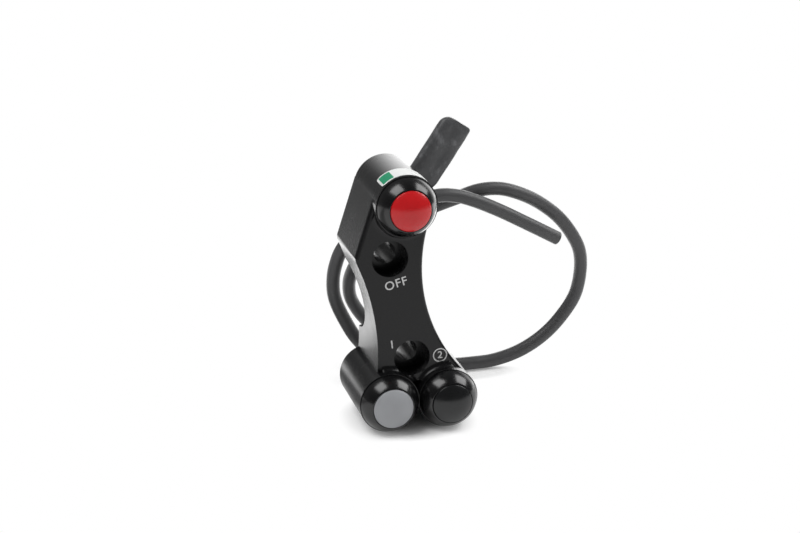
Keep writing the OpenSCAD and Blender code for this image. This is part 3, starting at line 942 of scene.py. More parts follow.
@dataclass(frozen=True)
class Table:
    """A white table top that keeps the object's shadow and is plain white for the eye away from it.

    Attributes:
        half_width: Half its width, in metres.
        front: Its front edge.
        back: Its back edge.
        paper: Its tone.
        glow: Light that it gives off besides, for the eye and for reflections.
        foot: Where the lower barrels stand and cast their shadow.
        contact: Where that glow fades in, as squared shares of the foot's reach; inside it the floor has no
            glow, so a painted shade lies darker under the barrels.
        loop: Where the cable rests.
        behind: The ground behind the housing.
        shade: Tone of a painted shadow on the stretch on the left that the lower barrel mirrors.
        shade_x: Right edge of that painted shadow.
        shade_front: Front edge of that painted shadow.
        shade_back: Back edge of that painted shadow.
        painted_reflection_glow: Painted glow that the ground farther back gives off, seen only in
            reflections.
        painted_reflection_y: Where that glowing ground starts.
        painted_reflection_x: Its left edge.
        painted_reflection_slant: How that edge moves to the left towards the back.
    """

    half_width: float = 0.8
    front: float = -0.75
    back: float = 0.28
    paper: float = 0.9
    glow: float = 0.22
    foot: Oval = Oval((-0.0005, -0.001), (0.017, 0.019), (0.75, 1.6))
    contact: Span = (0.1, 0.8)
    loop: Oval = Oval((0.024, 0.030), (0.020, 0.006), (0.5, 1.3))
    behind: Oval = Oval((0.003, 0.034), (0.018, 0.020), (0.5, 1.3))
    shade: float = 0.36
    shade_x: Span = (-0.014, -0.024)
    shade_front: Span = (0.002, 0.016)
    shade_back: Span = (0.085, 0.055)
    painted_reflection_glow: float = 1.5
    painted_reflection_y: Span = (0.045, 0.08)
    painted_reflection_x: Span = (-0.070, -0.012)
    painted_reflection_slant: float = 0.35

    def material(self) -> bpy.types.Material:
        """White paper that mixes into plain white for the eye, with a painted shadow stretch, painted shade
        under the barrels and a painted glow that only reflections see.

        Returns:
            The material.
        """
        made = bpy.data.materials.new("white_floor")
        made.use_nodes = True
        graph = Graph(made.node_tree)
        eye, mirrored = graph.rays()
        x, y, _ = graph.parts(graph.place())
        # Painted shadow: the paper is made darker on a stretch left of the lower barrel, which that barrel
        # mirrors.
        shaded = (graph.ramp(x, *self.shade_x) * graph.ramp(y, *self.shade_front)
                  * graph.ramp(y, *self.shade_back))
        tone = graph.blend(shaded, (self.paper,) * 3, (self.shade,) * 3)
        paper = graph.node("ShaderNodeBsdfDiffuse", None, {"Color": tone})
        # Painted reflection: the ground farther back glows for reflections only, so the housing's left side
        # mirrors it brightly.
        painted_reflection = (graph.ramp(y, *self.painted_reflection_y)
                   * graph.ramp(x + y * self.painted_reflection_slant, *self.painted_reflection_x))
        # The glow is held back near the barrels' foot, which paints the shade under them darker, and on the
        # painted shadow stretch.
        clear = graph.ramp(self.foot.apart(x, y), *self.contact)
        own = (eye + mirrored) * self.glow * clear * (1.0 - shaded)
        glow = graph.node("ShaderNodeEmission", None, {
            "Color": WHITE, "Strength": own + mirrored * painted_reflection * self.painted_reflection_glow})
        near = graph.node("ShaderNodeAddShader", None, {0: paper.outputs[0], 1: glow.outputs[0]})
        far = graph.node("ShaderNodeEmission", None, {"Color": WHITE, "Strength": 1.0})
        share = eye
        for oval in (self.foot, self.loop, self.behind):
            share = share * oval.outside(graph, x, y)
        both = graph.node("ShaderNodeMixShader", None, {0: share, 1: near.outputs[0], 2: far.outputs[0]})
        graph.node("ShaderNodeOutputMaterial", None, {"Surface": both.outputs[0]})
        return made

    def build(self) -> None:
        """Lays the table top."""
        right = self.half_width
        mesh = mesh_of("floor", [(-right, self.front, 0), (right, self.front, 0), (right, self.back, 0),
                                 (-right, self.back, 0)], [(0, 1, 2, 3)])
        mesh.materials.append(self.material())
        made = bpy.data.objects.new("floor", mesh)
        bpy.context.scene.collection.objects.link(made)


@dataclass
class Studio:
    """Camera, table, lamps and backdrop.

    Attributes:
        eye: The camera's place, in metres.
        azimuth: Its turn to the right, in degrees.
        elevation: Its height angle, in degrees.
        roll: Its roll, in degrees.
        lens: Focal length.
        sensor: Width of the sensor.
        nearest: Nearest distance that the camera shows, in metres.
        aim: The place that the lamps look at, in metres.
        softboxes: The lamps.
        backdrop: What lies round the table.
        table: The table top.
    """

    eye: Place = (-0.12821, -0.46279, 0.20341)
    azimuth: float = -15.1
    elevation: float = 17.93
    roll: float = 0.7
    lens: float = 76.49
    sensor: float = 36.0
    nearest: float = 0.01
    aim: Place = (0.0, 0.0, 0.04)
    softboxes: tuple[Softbox, ...] = (
        Softbox("left_softbox", (-0.41, -0.09, 0.81), (0.53, 0.50), 4.1),
        Softbox("right_softbox", (0.66, 0.0, 0.64), (0.50, 0.53), 4.3))
    backdrop: Backdrop = Backdrop()
    table: Table = Table()

    def camera(self) -> None:
        """Sets the camera at the photograph's angle."""
        a, e, r = (math.radians(v) for v in (self.azimuth, self.elevation, self.roll))
        back = Vector((math.sin(a) * math.cos(e), -math.cos(a) * math.cos(e), math.sin(e)))
        level = Vector((math.cos(a), math.sin(a), 0))
        over = back.cross(level)
        right = level * math.cos(r) + over * math.sin(r)
        up = over * math.cos(r) - level * math.sin(r)
        data = bpy.data.cameras.new("camera")
        data.sensor_fit = "HORIZONTAL"
        data.sensor_width = self.sensor
        data.lens = self.lens
        data.clip_start = self.nearest
        data.dof.use_dof = False
        made = bpy.data.objects.new("camera", data)
        made.matrix_world = Matrix.Translation(self.eye) @ Matrix((right, up, back)).transposed().to_4x4()
        bpy.context.scene.collection.objects.link(made)
        bpy.context.scene.camera = made

    def build(self) -> None:
        """Sets up the whole studio."""
        self.camera()
        self.backdrop.build()
        self.table.build()
        for softbox in self.softboxes:
            softbox.build(self.aim)
        bpy.context.scene.view_settings.view_transform = "Standard"
        log.info("studio is set")


@dataclass
class Cable:
    """The cable's jacket and the way that it runs.

    Attributes:
        datum: Where the housing's own places start.
        diameter: Diameter of the jacket.
        route: Points of its middle line, in the housing's own places.
        steps: Steps from one of those points to the next.
        sides: Sides of the jacket.
        root_tuck: How far inside the boot's end the free run starts.
        points: The route's points in the frame.
        line: The middle line of the free run, in the frame.
    """

    datum: Datum = Datum()
    diameter: float = 4.3
    route: tuple[Place, ...] = (
        (9.05, 17.05, 9.15), (9.05, 24, 9.15), (9.05, 31, 9.15), (9.05, 38, 9.15), (8, 46, 9.6),
        (4, 52.5, 11), (-2, 55.5, 14.5), (-6.8, 55, 21.5), (-8.4, 53, 27.6), (-8, 50, 33.5),
        (-5.2, 46, 41), (0, 41.5, 48.5), (7, 37.5, 54.3), (15.5, 35, 58.2), (22, 34, 60.6),
        (29, 34, 62.6), (36, 34.5, 62.5), (43, 35, 60.3), (50, 36.5, 56.5), (56.8, 37.5, 51.2),
        (62, 38.5, 45), (65.5, 39.5, 38.5), (66.5, 40.5, 31), (65, 41, 22.5), (60, 41.5, 14.5),
        (54, 41.5, 8.8), (46.5, 41, 4.8), (38, 40.5, 2.6), (30, 40, 2.3), (22, 40, 2.3),
        (14, 40.3, 2.3), (5, 40.5, 3.8), (-3, 40.5, 8), (-8.8, 40, 14), (-12.7, 40, 20.5),
        (-15.8, 40, 27.5), (-16.6, 40, 33), (-16, 39.5, 39), (-13.8, 37.8, 45.6), (-9, 34.5, 51.6),
        (-2, 30.5, 57.4), (5.5, 27.6, 61.6), (13, 26.9, 63.6), (19, 27.2, 63.2), (25, 27.8, 61.3),
        (34, 29, 57.1), (44.5, 30, 51.5), (54.5, 31, 46))
    steps: int = 8
    sides: int = 24
    root_tuck: float = 1.0
    points: list[np.ndarray] = field(init=False)
    line: list[Vector] = field(init=False)

    def __post_init__(self) -> None:
        """Puts the route in the frame."""
        self.points = [np.array(self.datum.at(*p)) for p in self.route]

    def at(self, u: float) -> Vector:
        """A place on the middle line, counted in route points."""
        return Vector(stretch(self.points, int(u), u - int(u)))

    def pitch(self, u: float) -> float:
        """From the route point before a place to the one after it, in millimetres."""
        return float(np.linalg.norm(self.points[int(u) + 1] - self.points[int(u)])) / MM

    def build(self, tubes: TubeTree) -> bpy.types.Object:
        """Makes a short root in the gland and boot, and the free run behind them.

        Args:
            tubes: The tree that sweeps the jacket.

        Returns:
            The free run.
        """
        line = smooth_line(self.points, self.steps)
        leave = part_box("strain_relief")[1].y - self.root_tuck * MM
        split = next(i for i, p in enumerate(line) if p.y > leave)
        root = tubes.sweep("cable_root", line[:split + 1], self.diameter / 2, self.sides, Finishes.CABLE)
        ridden(root, "body", "cable_jacket")
        self.line = line[split:]
        run = tubes.sweep("cable_run", self.line, self.diameter / 2, self.sides, Finishes.CABLE)
        return ridden(run, "body", "cable_jacket", "cable")


@dataclass(frozen=True)
class SpliceSleeve:
    """The shrunk sleeve on the cable, drawn in at both ends and a little lumpy.

    Attributes:
        at: Where its middle is, counted in the cable's route points.
        length: Its length.
        fit: How far its ends stand off the jacket.
        wall: How much farther out its middle is.
        hold: Share of its half length that isn't drawn in.
        lump: Height of its lumps.
        lump_l: Size of its lumps.
        rows: Rings along it.
        sides: Points on each ring.
    """

    at: float = 40.6
    length: float = 9.0
    fit: float = 0.08
    wall: float = 0.82
    hold: float = 0.72
    lump: float = 0.16
    lump_l: float = 1.8
    rows: int = 25
    sides: int = 40

    def build(self, cable: Cable) -> bpy.types.Object:
        """Lofts the sleeve along the cable.

        Args:
            cable: The cable that it sits on.

        Returns:
            The sleeve.
        """
        ahead = 0.01
        pitch = cable.pitch(self.at)
        rings = []
        for t in (2 * i / (self.rows - 1) - 1 for i in range(self.rows)):
            u = self.at + t * self.length / 2 / pitch
            here = cable.at(u)
            side, over = crosswise(cable.at(u + ahead) - here)
            draw = 1 - max(0.0, abs(t) - self.hold) / (1 - self.hold)
            radius = cable.diameter / 2 + self.fit + self.wall * math.sqrt(max(0.0, draw))
            ring = []
            for way in spokes(side, over, self.sides):
                lump = self.lump * noise.noise((here + way * radius * MM) / (self.lump_l * MM))
                ring.append(here + way * (radius + lump * draw) * MM)
            rings.append(ring)
        made = as_object("splice_cover", lofted("splice_cover", rings), Finishes.SLEEVE)
        return ridden(made, "body", "shrink_sleeve", "splice_sleeve")


@dataclass(frozen=True)
class CoveredEnd:
    """The flat covered end: a neck that widens, a pinched top and a creased skin.

    Heights are measured along it, from the cable's middle.

    Attributes:
        lean: Its lean to the right, in degrees.
        shift: How far it sits to the right of the cable's middle.
        width: Its width.
        thick: Its thickness.
        neck_w: Width of its neck.
        neck_t: Thickness of its neck.
        foot: Height at which it starts.
        top: Height at which it ends.
        shoulder: Height at which it starts to widen.
        shoulder_l: Length over which it widens.
        corners: Roundings of its left and its right top corner.
        pinch: Share of its thickness that the pinched top loses.
        pinch_at: Height at which the pinch starts.
        pinch_l: Length over which the pinch grows.
        square: Power that squares its oval section, below 1.
        folds: Size and depth of its broad folds and its fine ones.
        fold_root: Length over which the folds grow from the cable.
        fold_top: Length over which they end below the top.
        fold_edge: Power that keeps the folds off its narrow edges.
        crease: Depth of its long crease.
        crease_w: Half width of that crease.
        wander: How far the crease wanders to each side.
        wander_l: Length in which it wanders by one radian.
        rows: Rings along it.
        crowd: Power that crowds the rings towards the top.
        sides: Points on each ring.
        sharp_deg: Edges that turn more than this stay sharp.
    """

    lean: float = 33.0
    shift: float = 0.3
    width: float = 9.9
    thick: float = 4.6
    neck_w: float = 6.4
    neck_t: float = 3.6
    foot: float = 1.6
    top: float = 31.4
    shoulder: float = 6.0
    shoulder_l: float = 6.5
    corners: tuple[float, float] = (3.2, 0.9)
    pinch: float = 0.42
    pinch_at: float = 25.5
    pinch_l: float = 5.5
    square: float = 0.62
    folds: tuple[tuple[float, float], ...] = ((4.2, 0.34), (1.5, 0.10))
    fold_root: float = 6.0
    fold_top: float = 2.0
    fold_edge: float = 0.4
    crease: float = 0.22
    crease_w: float = 0.8
    wander: float = 0.8
    wander_l: float = 4.0
    rows: int = 84
    crowd: float = 1.25
    sides: int = 72
    sharp_deg: float = 60.0

    def widened(self, z: float) -> float:
        """How far it has widened at a height, from 0 to 1."""
        share = min(1.0, max(0.0, (z - self.shoulder) / self.shoulder_l))
        return share * share * (3 - 2 * share)

    def thickness(self, z: float) -> float:
        """Its thickness at a height."""
        pinched = self.pinch * max(0.0, (z - self.pinch_at) / self.pinch_l) ** 2
        return (self.neck_t + (self.thick - self.neck_t) * self.widened(z)) * (1 - pinched)

    def reach(self, z: float, corner: float) -> float:
        """How far it reaches to one side.

        Args:
            z: The height.
            corner: Rounding of the top corner on that side.

        Returns:
            The distance from its middle line.
        """
        half = 0.5 * (self.neck_w + (self.width - self.neck_w) * self.widened(z))
        over = z - (self.top - corner)
        return half if over <= 0 else half - corner + math.sqrt(max(0.0, corner * corner - over * over))

    def push(self, spot: Vector, flat: float, z: float) -> float:
        """How far the folds and the crease push the skin out.

        Args:
            spot: The place in the frame.
            flat: That place's distance to the right of the middle line.
            z: Its height.

        Returns:
            The push, in millimetres.
        """
        fold = sum(noise.noise(spot / (size * MM)) * depth for size, depth in self.folds)
        off = (flat + self.wander * math.sin(z / self.wander_l)) / self.crease_w
        fold -= self.crease * math.exp(-off ** 2) * self.widened(z)
        return fold * min(1.0, z / self.fold_root) * min(1.0, max(0.0, (self.top - z) / self.fold_top))

    def build(self, root: Vector) -> bpy.types.Object:
        """Lofts the covered end.

        Args:
            root: Where it leaves the cable, on the cable's middle line.

        Returns:
            The covered end.
        """
        lean = math.radians(self.lean)
        up = Vector((math.sin(lean), 0, math.cos(lean)))
        across = Vector((math.cos(lean), 0, -math.sin(lean)))
        origin = root + across * self.shift * MM
        rings = []
        for i in range(self.rows):
            z = self.foot + (self.top - self.foot) * (1 - (1 - i / (self.rows - 1)) ** self.crowd)
            left, right = (self.reach(z, corner) for corner in self.corners)
            thick = self.thickness(z)
            ring = []
            for k in range(self.sides):
                a = 2 * math.pi * k / self.sides
                c, s = math.cos(a), math.sin(a)
                flat = math.copysign(abs(c) ** self.square, c) * (right if c > 0 else left)
                deep = math.copysign(abs(s) ** self.square, s) * thick / 2
                spot = origin + (up * z + across * flat) * MM + Vector((0, deep * MM, 0))
                out = math.copysign(abs(s) ** self.fold_edge, s) * self.push(spot, flat, z)
                ring.append(spot + Vector((0, out * MM, 0)))
            rings.append(ring)
        made = as_object("covered_end", lofted("covered_end", rings), Finishes.SLEEVE, self.sharp_deg)
        return ridden(made, "body", "shrink_sleeve", "covered_tail")


@dataclass(frozen=True)
class CutEnd:
    """The cores that show in the cable's cut end.

    Attributes:
        cores: How many there are.
        spread: Radius of the circle that they lie on.
        profile: A core's radius and its place past the cut: insulation, then bare strands.
        sides: Points round a core.
    """

    cores: int = 4
    spread: float = 0.95
    profile: tuple[tuple[float, float], ...] = (
        (0.62, -0.6), (0.62, 0.22), (0.56, 0.28), (0.36, 0.28), (0.34, 0.3), (0.34, 0.55), (0.24, 0.62))
    sides: int = 16

    def build(self, line: Sequence[Vector]) -> bpy.types.Object:
        """Lofts the cores.

        Args:
            line: The cable's middle line, up to the cut.

        Returns:
            The cores, as one piece.
        """
        tip = line[-1]
        heading = (tip - line[-2]).normalized()
        side, over = crosswise(heading)
        joined = bmesh.new()
        for core in range(self.cores):
            a = math.pi / 4 + 2 * math.pi * core / self.cores
            middle = tip + (side * math.cos(a) + over * math.sin(a)) * self.spread * MM
            ways = spokes(side, over, self.sides)
            rings = [[middle + (heading * s + way * r) * MM for way in ways] for r, s in self.profile]
            joined.from_mesh(lofted("core", rings))
        mesh = bpy.data.meshes.new("cable_cores")
        joined.to_mesh(mesh)
        joined.free()
        made = as_object("cable_cores", mesh, Finishes.COPPER)
        return ridden(made, "body", "plated_steel")


@dataclass(frozen=True)
class Boot:
    """The ribbed boot behind the gland.

    Attributes:
        length: Its length.
        wide: Radius at its front.
        tip: Radius at its end.
        bore: Radius of its bore.
        ribs: How many ribs it has.
        groove: Place in a rib's length, depth and rounding of each corner of the groove behind a rib.
        end_round: Rounding of its two ends.
        bore_round: Rounding of the bore's edges.
        sides: Steps round it.
    """

    length: float = 10.0
    wide: float = 3.8
    tip: float = 2.95
    bore: float = 2.3
    ribs: int = 4
    groove: tuple[tuple[float, float, float], ...] = (
        (0.62, 0.0, 0.18), (0.70, 0.35, 0.12), (0.92, 0.35, 0.12), (1.0, 0.0, 0.18))
    end_round: float = 0.3
    bore_round: float = 0.1
    sides: int = 72

    def build(self) -> bpy.types.Object:
        """Turns the boot.

        Returns:
            The boot.
        """
        outer = [(self.wide, 0.0, self.end_round)]
        for rib in range(self.ribs):
            for place, depth, size in self.groove:
                s = self.length / self.ribs * (rib + place)
                if s < self.length - TINY:
                    outer.append((self.wide - (self.wide - self.tip) * s / self.length - depth, s, size))
        outer += [(self.tip, self.length, self.end_round), (self.bore, self.length, self.bore_round),
                  (self.bore, 0.0, self.bore_round)]
        mesh = turned("boot", axis_of("strain_relief"), softened(outer), self.sides)
        return ridden(as_object("boot", mesh, Finishes.BOOT), "body", "boot_rubber", "strain_relief")


@dataclass(frozen=True)
class Gland:
    """The turned gland that holds the cable in the rear plug.

    Attributes:
        bore: Radius of its bore.
        neck: Radius of the neck in the plug.
        head: Radius of its head.
        head_l: Length of its head.
    """

    bore: float = 2.3
    neck: float = 3.4
    head: float = 5.0
    head_l: float = 2.4

    def build(self) -> bpy.types.Object:
        """Turns the gland.

        Returns:
            The gland.
        """
        low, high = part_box("cable_gland")
        length = (high.y - low.y) / MM
        seat = length - self.head_l
        mesh = turned("gland", axis_of("cable_gland"), softened([
            (self.bore, 0, 0.1), (self.neck, 0, 0.3), (self.neck, seat, 0.05), (self.head, seat, 0.25),
            (self.head, length, 0.5), (self.bore, length, 0.15)]))
        return ridden(as_object("gland", mesh, Finishes.PLUG), "body", "gland_metal", "cable_gland")


@dataclass
class Harness:
    """The cable with its splice, covered end, cut end, boot and gland.

    Attributes:
        cable: The cable.
        splice: The sleeve on it.
        covered_end: The flat end that leaves it under the sleeve.
        cut_end: The cores in its far end.
        boot: The boot at its root.
        gland: The gland at its root.
    """

    cable: Cable = field(default_factory=Cable)
    splice: SpliceSleeve = SpliceSleeve()
    covered_end: CoveredEnd = CoveredEnd()
    cut_end: CutEnd = CutEnd()
    boot: Boot = Boot()
    gland: Gland = Gland()

    def build(self, tubes: TubeTree) -> None:
        """Args:
            tubes: The tree that sweeps the cable's jacket.
        """
        run = self.cable.build(tubes)
        line = self.cable.line
        pieces = [self.splice.build(self.cable), self.covered_end.build(self.cable.at(self.splice.at)),
                  self.cut_end.build(line), self.boot.build(), self.gland.build()]


@dataclass
class Button:
    """One push button: a bezel and a cap that make one dome, and what lies behind them.

    Places are millimetres behind the middle of the cap's face.

    Attributes:
        tint: Which button it is.
        cap_r: Radius of the cap.
        cap_gap: Gap round the cap.
        cap_edge: Rounding of the cap's rim.
        bezel_r: Radius of the bezel.
        bezel_lip: Rounding of the bezel's inner rim.
        bezel_land: Flat at the bezel's outer rim.
        dome_h: Height of the dome.
        stop: Where the cap's flange stops in the bezel.
        spigot: End of the bezel's spigot.
        slide_r: Radius of the bezel's bore.
        spigot_r: Radius of that spigot.
        seal_t: Thickness of the seal.
        seal_fit: Gap between the seal and the spigot.
        seal_inset: How far the seal's rim lies inside the bezel's.
        flange_at: How far behind the stop the cap's flange starts.
        flange_l: Length of that flange.
        flange_fit: Gap between the flange and the bore.
        groove_r: Radius at the bottom of the flange's groove.
        groove_w: Width of that groove.
        post_r: Radius of the cap's post.
        post_l: Length of that post.
        wire: Thickness of the spring's wire.
        turns: Turns of the spring.
        coil_r: Radius of the spring at the middle of its wire.
        wire_sides: Sides of that wire.
        sides: Steps round the bezel and the seal.
        cap_sides: Steps round the cap.
        fine: Smallest broken edge.
        soft: Usual broken edge.
        axis: Where the button's axis starts, in the frame.
        dome_r: Radius of the dome.
    """

    tint: Tint
    cap_r: float = 6.0
    cap_gap: float = 0.2
    cap_edge: float = 0.26
    bezel_r: float = 8.9
    bezel_lip: float = 0.2
    bezel_land: float = 0.02
    dome_h: float = 6.75
    stop: float = 4.54
    spigot: float = 9.75
    slide_r: float = 6.85
    spigot_r: float = 7.55
    seal_t: float = 0.35
    seal_fit: float = 0.1
    seal_inset: float = 0.35
    flange_at: float = 0.3
    flange_l: float = 2.1
    flange_fit: float = 0.07
    groove_r: float = 5.955
    groove_w: float = 0.9
    post_r: float = 1.5
    post_l: float = 1.9
    wire: float = 0.5
    turns: float = 3.5
    coil_r: float = 3.5
    wire_sides: int = 12
    sides: int = 144
    cap_sides: int = 128
    fine: float = 0.05
    soft: float = 0.1
    axis: Vector = field(init=False)
    dome_r: float = field(init=False)

    def __post_init__(self) -> None:
        """Finds the button's axis in the frame, and the radius of its dome."""
        self.axis = axis_of(f"{self.tint.value}_cap")
        self.dome_r = (self.bezel_r ** 2 + self.dome_h ** 2) / (2 * self.dome_h)

    def dome(self, r0: float, r1: float, steps: int) -> Profile:
        """The dome's profile from one radius to another."""
        angles = np.linspace(math.asin(r0 / self.dome_r), math.asin(r1 / self.dome_r), steps)
        return [(self.dome_r * math.sin(a), self.dome_r * (1 - math.cos(a))) for a in angles]

    def bezel(self) -> None:
        """The domed ring."""
        name = f"{self.tint.value}_bezel_ring"
        inner = self.cap_r + self.cap_gap
        dome = self.dome(inner + self.bezel_lip, self.bezel_r - self.bezel_land, 32)
        rim = 0.08
        back = softened([
            (*dome[-1], 0), (self.bezel_r, self.dome_h, rim), (self.spigot_r, self.dome_h, self.fine),
            (self.spigot_r, self.spigot, self.soft), (self.slide_r, self.spigot, self.soft),
            (self.slide_r, self.stop, self.fine), (inner, self.stop, self.fine),
            (inner, dome[0][1] - self.bezel_lip / 2, self.bezel_lip), (*dome[0], 0)])
        made = as_object(name, turned(name, self.axis, dome[1:-1] + back, self.sides), Finishes.BEZEL)
        ridden(made, "body", "gloss_bezel", f"{self.tint.value}_bezel")

    def seal(self) -> None:
        """The thin seal that shows as the seam under the bezel."""
        name = f"{self.tint.value}_seam"
        inner, outer = self.spigot_r + self.seal_fit, self.bezel_r - self.seal_inset
        front, back = self.dome_h, self.dome_h + self.seal_t
        mesh = turned(name, self.axis, softened([
            (inner, front, self.fine), (outer, front, self.soft), (outer, back, self.soft),
            (inner, back, self.fine)]), self.sides)
        ridden(as_object(name, mesh, Finishes.SEAL), "body", "seal_rubber", f"{self.tint.value}_seal")

    def cap(self) -> None:
        """The cap: a domed face, a soft rim, the guide flange with its groove, and the post."""
        name = f"{self.tint.value}_cap_face"
        face = self.dome(0, self.cap_r - self.cap_edge, 24)
        rim = self.dome(self.cap_r, self.cap_r, 1)[0]
        flange_r = self.slide_r - self.flange_fit
        front = self.stop + self.flange_at
        back = front + self.flange_l
        near, far = ((front + back + way * self.groove_w) / 2 for way in (-1, 1))
        tip, tip_round = back + self.post_l, 0.15
        rest = softened([
            (*face[-1], 0), (*rim, self.cap_edge),
            (self.cap_r, front, self.fine), (flange_r, front, self.soft),
            (flange_r, near, self.fine), (self.groove_r, near, self.fine), (self.groove_r, far, self.fine),
            (flange_r, far, self.fine), (flange_r, back, self.soft), (self.post_r, back, self.soft),
            (self.post_r, tip, tip_round), (0, tip, 0)], steps=6)
        mesh = turned(name, self.axis, face[:-1] + rest, self.cap_sides)
        made = as_object(name, mesh, Finishes.CAPS[self.tint])
        ridden(made, f"{self.tint.value}_button", f"{self.tint.value}_cap", f"{self.tint.value}_cap")

    def spring(self, tubes: TubeTree) -> None:
        """The return spring.

        Args:
            tubes: The tree that sweeps its wire.
        """
        joint = f"{self.tint.value}_press"
        travel = next(j["range_m"][1] for j in frame["joints"] if j["name"] == joint)
        low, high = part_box(f"{self.tint.value}_spring")
        start, end = low.y + self.wire / 2 * MM, high.y - self.wire / 2 * MM
        line, steps = [], 180
        for t in (i / steps for i in range(steps + 1)):
            a = 2 * math.pi * self.turns * t
            line.append(Vector((self.axis.x + self.coil_r * MM * math.cos(a), start + (end - start) * t,
                                self.axis.z - self.coil_r * MM * math.sin(a))))
        made = tubes.sweep(f"{self.tint.value}_coil", line, self.wire / 2, self.wire_sides, Finishes.STEEL)
        ridden(made, "body", "spring_steel", f"{self.tint.value}_spring")
        1 - travel / (high.y - low.y)
        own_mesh(made)

    def inner_parts(self) -> None:
        """Dresses what lies inside the barrel."""
        finishes = {"cap_ring": Finishes.SEAL, "stem": Finishes.SWITCH, "carrier": Finishes.NYLON,
                    "switch": Finishes.SWITCH, "board": Finishes.LAMINATE, "lead": Finishes.LEADS[self.tint]}
        for part, finish in finishes.items():
            dress(f"{self.tint.value}_{part}", finish)

    def build(self, tubes: TubeTree) -> None:
        """Builds the button and its parts.

        Args:
            tubes: The tree that sweeps the spring's wire.
        """
        self.bezel()
        self.seal()
        self.cap()
        self.spring(tubes)
        self.inner_parts()


@dataclass(frozen=True)
class Legend:
    """A legend printed on the front face.

    Attributes:
        name: The piece's name.
        words: What it says.
        x: Its middle, to the right.
        z: Its middle, above the table.
        height: Height of its capitals.
        turn: Its rise to the right, in degrees.
        ring_r: Radius of the ring round it, or 0 for none.
        stroke: Width of that ring's line.
        ring_sides: Steps round that ring.
        ink: Thickness of the print, and how much bolder than its font it is.
    """

    name: str
    words: str
    x: float
    z: float
    height: float
    turn: float = 0.0
    ring_r: float = 0.0
    stroke: float = 0.34
    ring_sides: int = 64
    ink: float = 0.03

    def build(self, datum: Datum) -> None:
        """Prints the legend, and the ring where it has one.

        Args:
            datum: Where the housing's own places start.
        """
        capital, spacing = 0.70, 1.12
        data = bpy.data.curves.new(self.name, "FONT")
        data.body = self.words
        data.align_x = "CENTER"
        data.align_y = "CENTER"
        data.size = self.height * MM / capital
        data.space_character = spacing
        data.offset = self.ink * MM
        data.extrude = self.ink * MM
        data.resolution_u = 8
        shown = bpy.data.objects.new(self.name + "_text", data)
        bpy.context.scene.collection.objects.link(shown)
        ready = shown.evaluated_get(bpy.context.evaluated_depsgraph_get())
        mesh = bpy.data.meshes.new_from_object(ready)
        bpy.data.objects.remove(shown)
        raised = Matrix.Rotation(math.radians(90), 4, "X")
        upright = Matrix.Rotation(math.radians(-self.turn), 4, "Y") @ raised
        mesh.transform(Matrix.Translation(datum.at(self.x, 0, self.z)) @ upright)
        ridden(as_object(self.name, mesh, Finishes.PRINT), "body", "label_film")
        if self.ring_r > 0:
            self.ring(datum.at(self.x, 0, self.z))

    def ring(self, middle: Vector) -> None:
        """Prints a plain ring round the legend.

        Args:
            middle: Its middle in the frame.
        """
        inner = self.ring_r - self.stroke
        mesh = turned("ring_mark", middle, [
            (inner, -self.ink), (self.ring_r, -self.ink), (self.ring_r, self.ink), (inner, self.ink)],
            self.ring_sides)
        ridden(as_object("ring_mark", mesh, Finishes.PRINT), "body", "label_film")


@dataclass(frozen=True)
class Label:
    """The film on the upper barrel, with rounded corners.

    Attributes:
        film: Its finish, with its flat size.
        inner: Radius of its back.
        outer: Radius of its face.
        corner: Rounding of its corners.
        middle: Angle of its middle, in degrees from the right.
        half: Half the angle that it wraps, in degrees.
        rows: Points across it.
        columns: Points along it.
    """

    film: LabelFilm = Finishes.LABEL
    inner: float = 9.36
    outer: float = 9.47
    corner: float = 1.3
    middle: float = 92.0
    half: float = 47.0
    rows: int = 25
    columns: int = 97

    def spread(self) -> list[tuple[float, float]]:
        """Places along and across the flat film, from its middle, row by row.

        Returns:
            The places, in millimetres.
        """
        made = []
        for i in range(self.rows):
            across = (i / (self.rows - 1) - 0.5) * self.film.width
            over = max(0.0, abs(across) - (self.film.width / 2 - self.corner))
            reach = self.film.length / 2 - self.corner + math.sqrt(max(0.0, self.corner ** 2 - over ** 2))
            for k in range(self.columns):
                made.append(((k / (self.columns - 1) - 0.5) * 2 * reach, across))
        return made

    def faces(self) -> list[tuple[int, ...]]:
        """Faces of the film's face, its back and the rim between them.

        Returns:
            The faces, as numbers of points: the film's face comes first, then its back.
        """
        rows, columns = self.rows, self.columns
        sheet = rows * columns
        made = []
        for i in range(rows - 1):
            for k in range(columns - 1):
                q = (i * columns + k, i * columns + k + 1, (i + 1) * columns + k + 1, (i + 1) * columns + k)
                made += [q, tuple(v + sheet for v in q[::-1])]
        edge = list(range(columns)) + [i * columns + columns - 1 for i in range(1, rows)]
        edge += [(rows - 1) * columns + k for k in range(columns - 2, -1, -1)]
        edge += [i * columns for i in range(rows - 2, 0, -1)]
        return made + [(a, a + sheet, b + sheet, b) for a, b in zip(edge, edge[1:] + edge[:1])]

    def build(self) -> None:
        """Wraps the film round the upper barrel, with its UV map."""
        axis = axis_of("red_cap")
        front, back = (v.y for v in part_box("label"))
        flat = self.spread()
        points = []
        for radius in (self.outer, self.inner):
            for along, across in flat:
                a = math.radians(self.middle) - along / (self.film.length / 2) * math.radians(self.half)
                points.append((axis.x + radius * MM * math.cos(a), (front + back) / 2 + across * MM,
                               axis.z + radius * MM * math.sin(a)))
        mesh = bpy.data.meshes.new("label_strip")
        mesh.from_pydata(points, [], self.faces())
        chart = mesh.uv_layers.new(name="UVMap")
        for loop in mesh.loops:
            along, across = flat[loop.vertex_index % len(flat)]
            chart.data[loop.index].uv = (along / self.film.length + 0.5, across / self.film.width + 0.5)
        ridden(as_object("label_strip", tidied(mesh), self.film), "body", "label_film", "label")


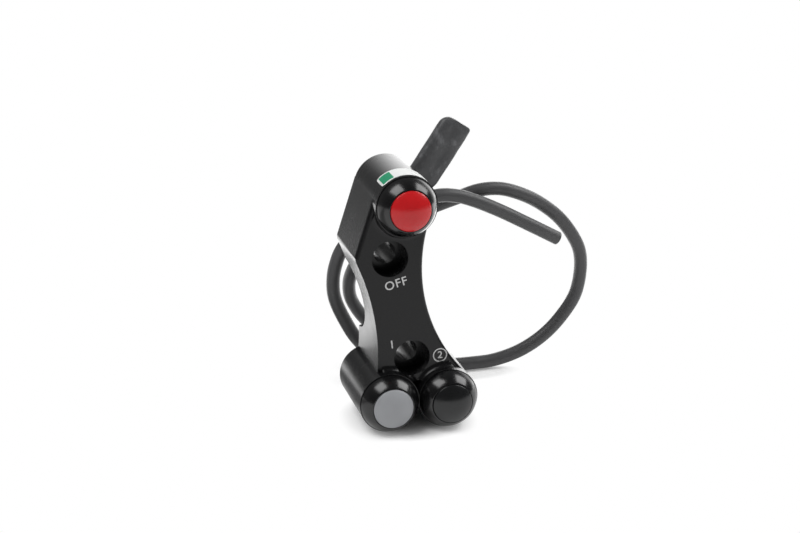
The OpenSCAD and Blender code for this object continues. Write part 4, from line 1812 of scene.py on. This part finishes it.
@dataclass
class Housing:
    """The milled body with its rear plugs, legends and label.

    Attributes:
        datum: Where the housing's own places start.
        edge: Width of the broken edges.
        weld: Distance within which a node's loose points are merged.
        flat_deg: Faces that turn less than this are joined.
        sharp_deg: Edges that turn more than this are broken.
        legends: What is printed on the front face.
        label: The film on the upper barrel.
    """

    datum: Datum = Datum()
    edge: float = 0.18
    weld: float = 0.002
    flat_deg: float = 0.4
    sharp_deg: float = 38.0
    legends: tuple[Legend, ...] = (
        Legend("legend_off", "OFF", -6.75, 45.3, 2.6, 15.0),
        Legend("legend_one", "1", -7.76, 26.36, 2.5, 8.0),
        Legend("legend_two", "2", 7.12, 21.9, 2.2, ring_r=2.2))
    label: Label = Label()

    def copy_of(self, node: str, name: str, finish: Finish, edge: float) -> bpy.types.Object:
        """A merged copy of a node, its sharp edges broken and its big faces kept flat.

        Args:
            node: The node that is copied.
            name: The piece's name.
            finish: Its finish.
            edge: Width of the broken edges.

        Returns:
            The new object.
        """
        mesh = frame["nodes"][node].data.copy()
        mesh.name = name
        tidy = bmesh.new()
        tidy.from_mesh(mesh)
        bmesh.ops.remove_doubles(tidy, verts=tidy.verts, dist=self.weld * MM)
        bmesh.ops.dissolve_limit(tidy, angle_limit=math.radians(self.flat_deg), verts=tidy.verts,
                                 edges=tidy.edges)
        tidy.to_mesh(mesh)
        tidy.free()
        made = as_object(name, mesh, finish)
        if edge > 0:
            bevel = made.modifiers.new("broken_edges", "BEVEL")
            bevel.width = edge * MM
            bevel.segments = 2
            bevel.limit_method = "ANGLE"
            bevel.angle_limit = math.radians(self.sharp_deg)
            bevel.use_clamp_overlap = True
        flat = made.modifiers.new("flat_faces", "WEIGHTED_NORMAL")
        flat.keep_sharp = True
        ready = made.evaluated_get(bpy.context.evaluated_depsgraph_get())
        made.modifiers.clear()
        made.data = bpy.data.meshes.new_from_object(ready)
        made.data.name = name
        return made

    def body(self) -> None:
        """The milled body and the plugs in its back."""
        made = self.copy_of("housing", "milled_body", Finishes.BODY, self.edge)
        ridden(made, "body", "anodised_body", "housing")
        for tint in Tint:
            node = f"{tint.value}_rear_plug"
            made = self.copy_of(node, f"{tint.value}_plug", Finishes.PLUG, 0.0)
            ridden(made, "body", "plug_metal", node)
        dress("gland_nut", Finishes.STEEL)

    def build(self) -> None:
        """Builds the body with everything printed or stuck on it."""
        self.body()
        for legend in self.legends:
            legend.build(self.datum)
        self.label.build()


def main() -> None:
    """Builds the studio and the object, piece by piece."""
    logging.basicConfig(level=logging.INFO, format="%(message)s")
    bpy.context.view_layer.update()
    Studio().build()
    tubes = TubeTree()
    Harness().build(tubes)
    Housing().build()
    for tint in Tint:
        Button(tint).build(tubes)


if __name__ == "__main__":
    main()
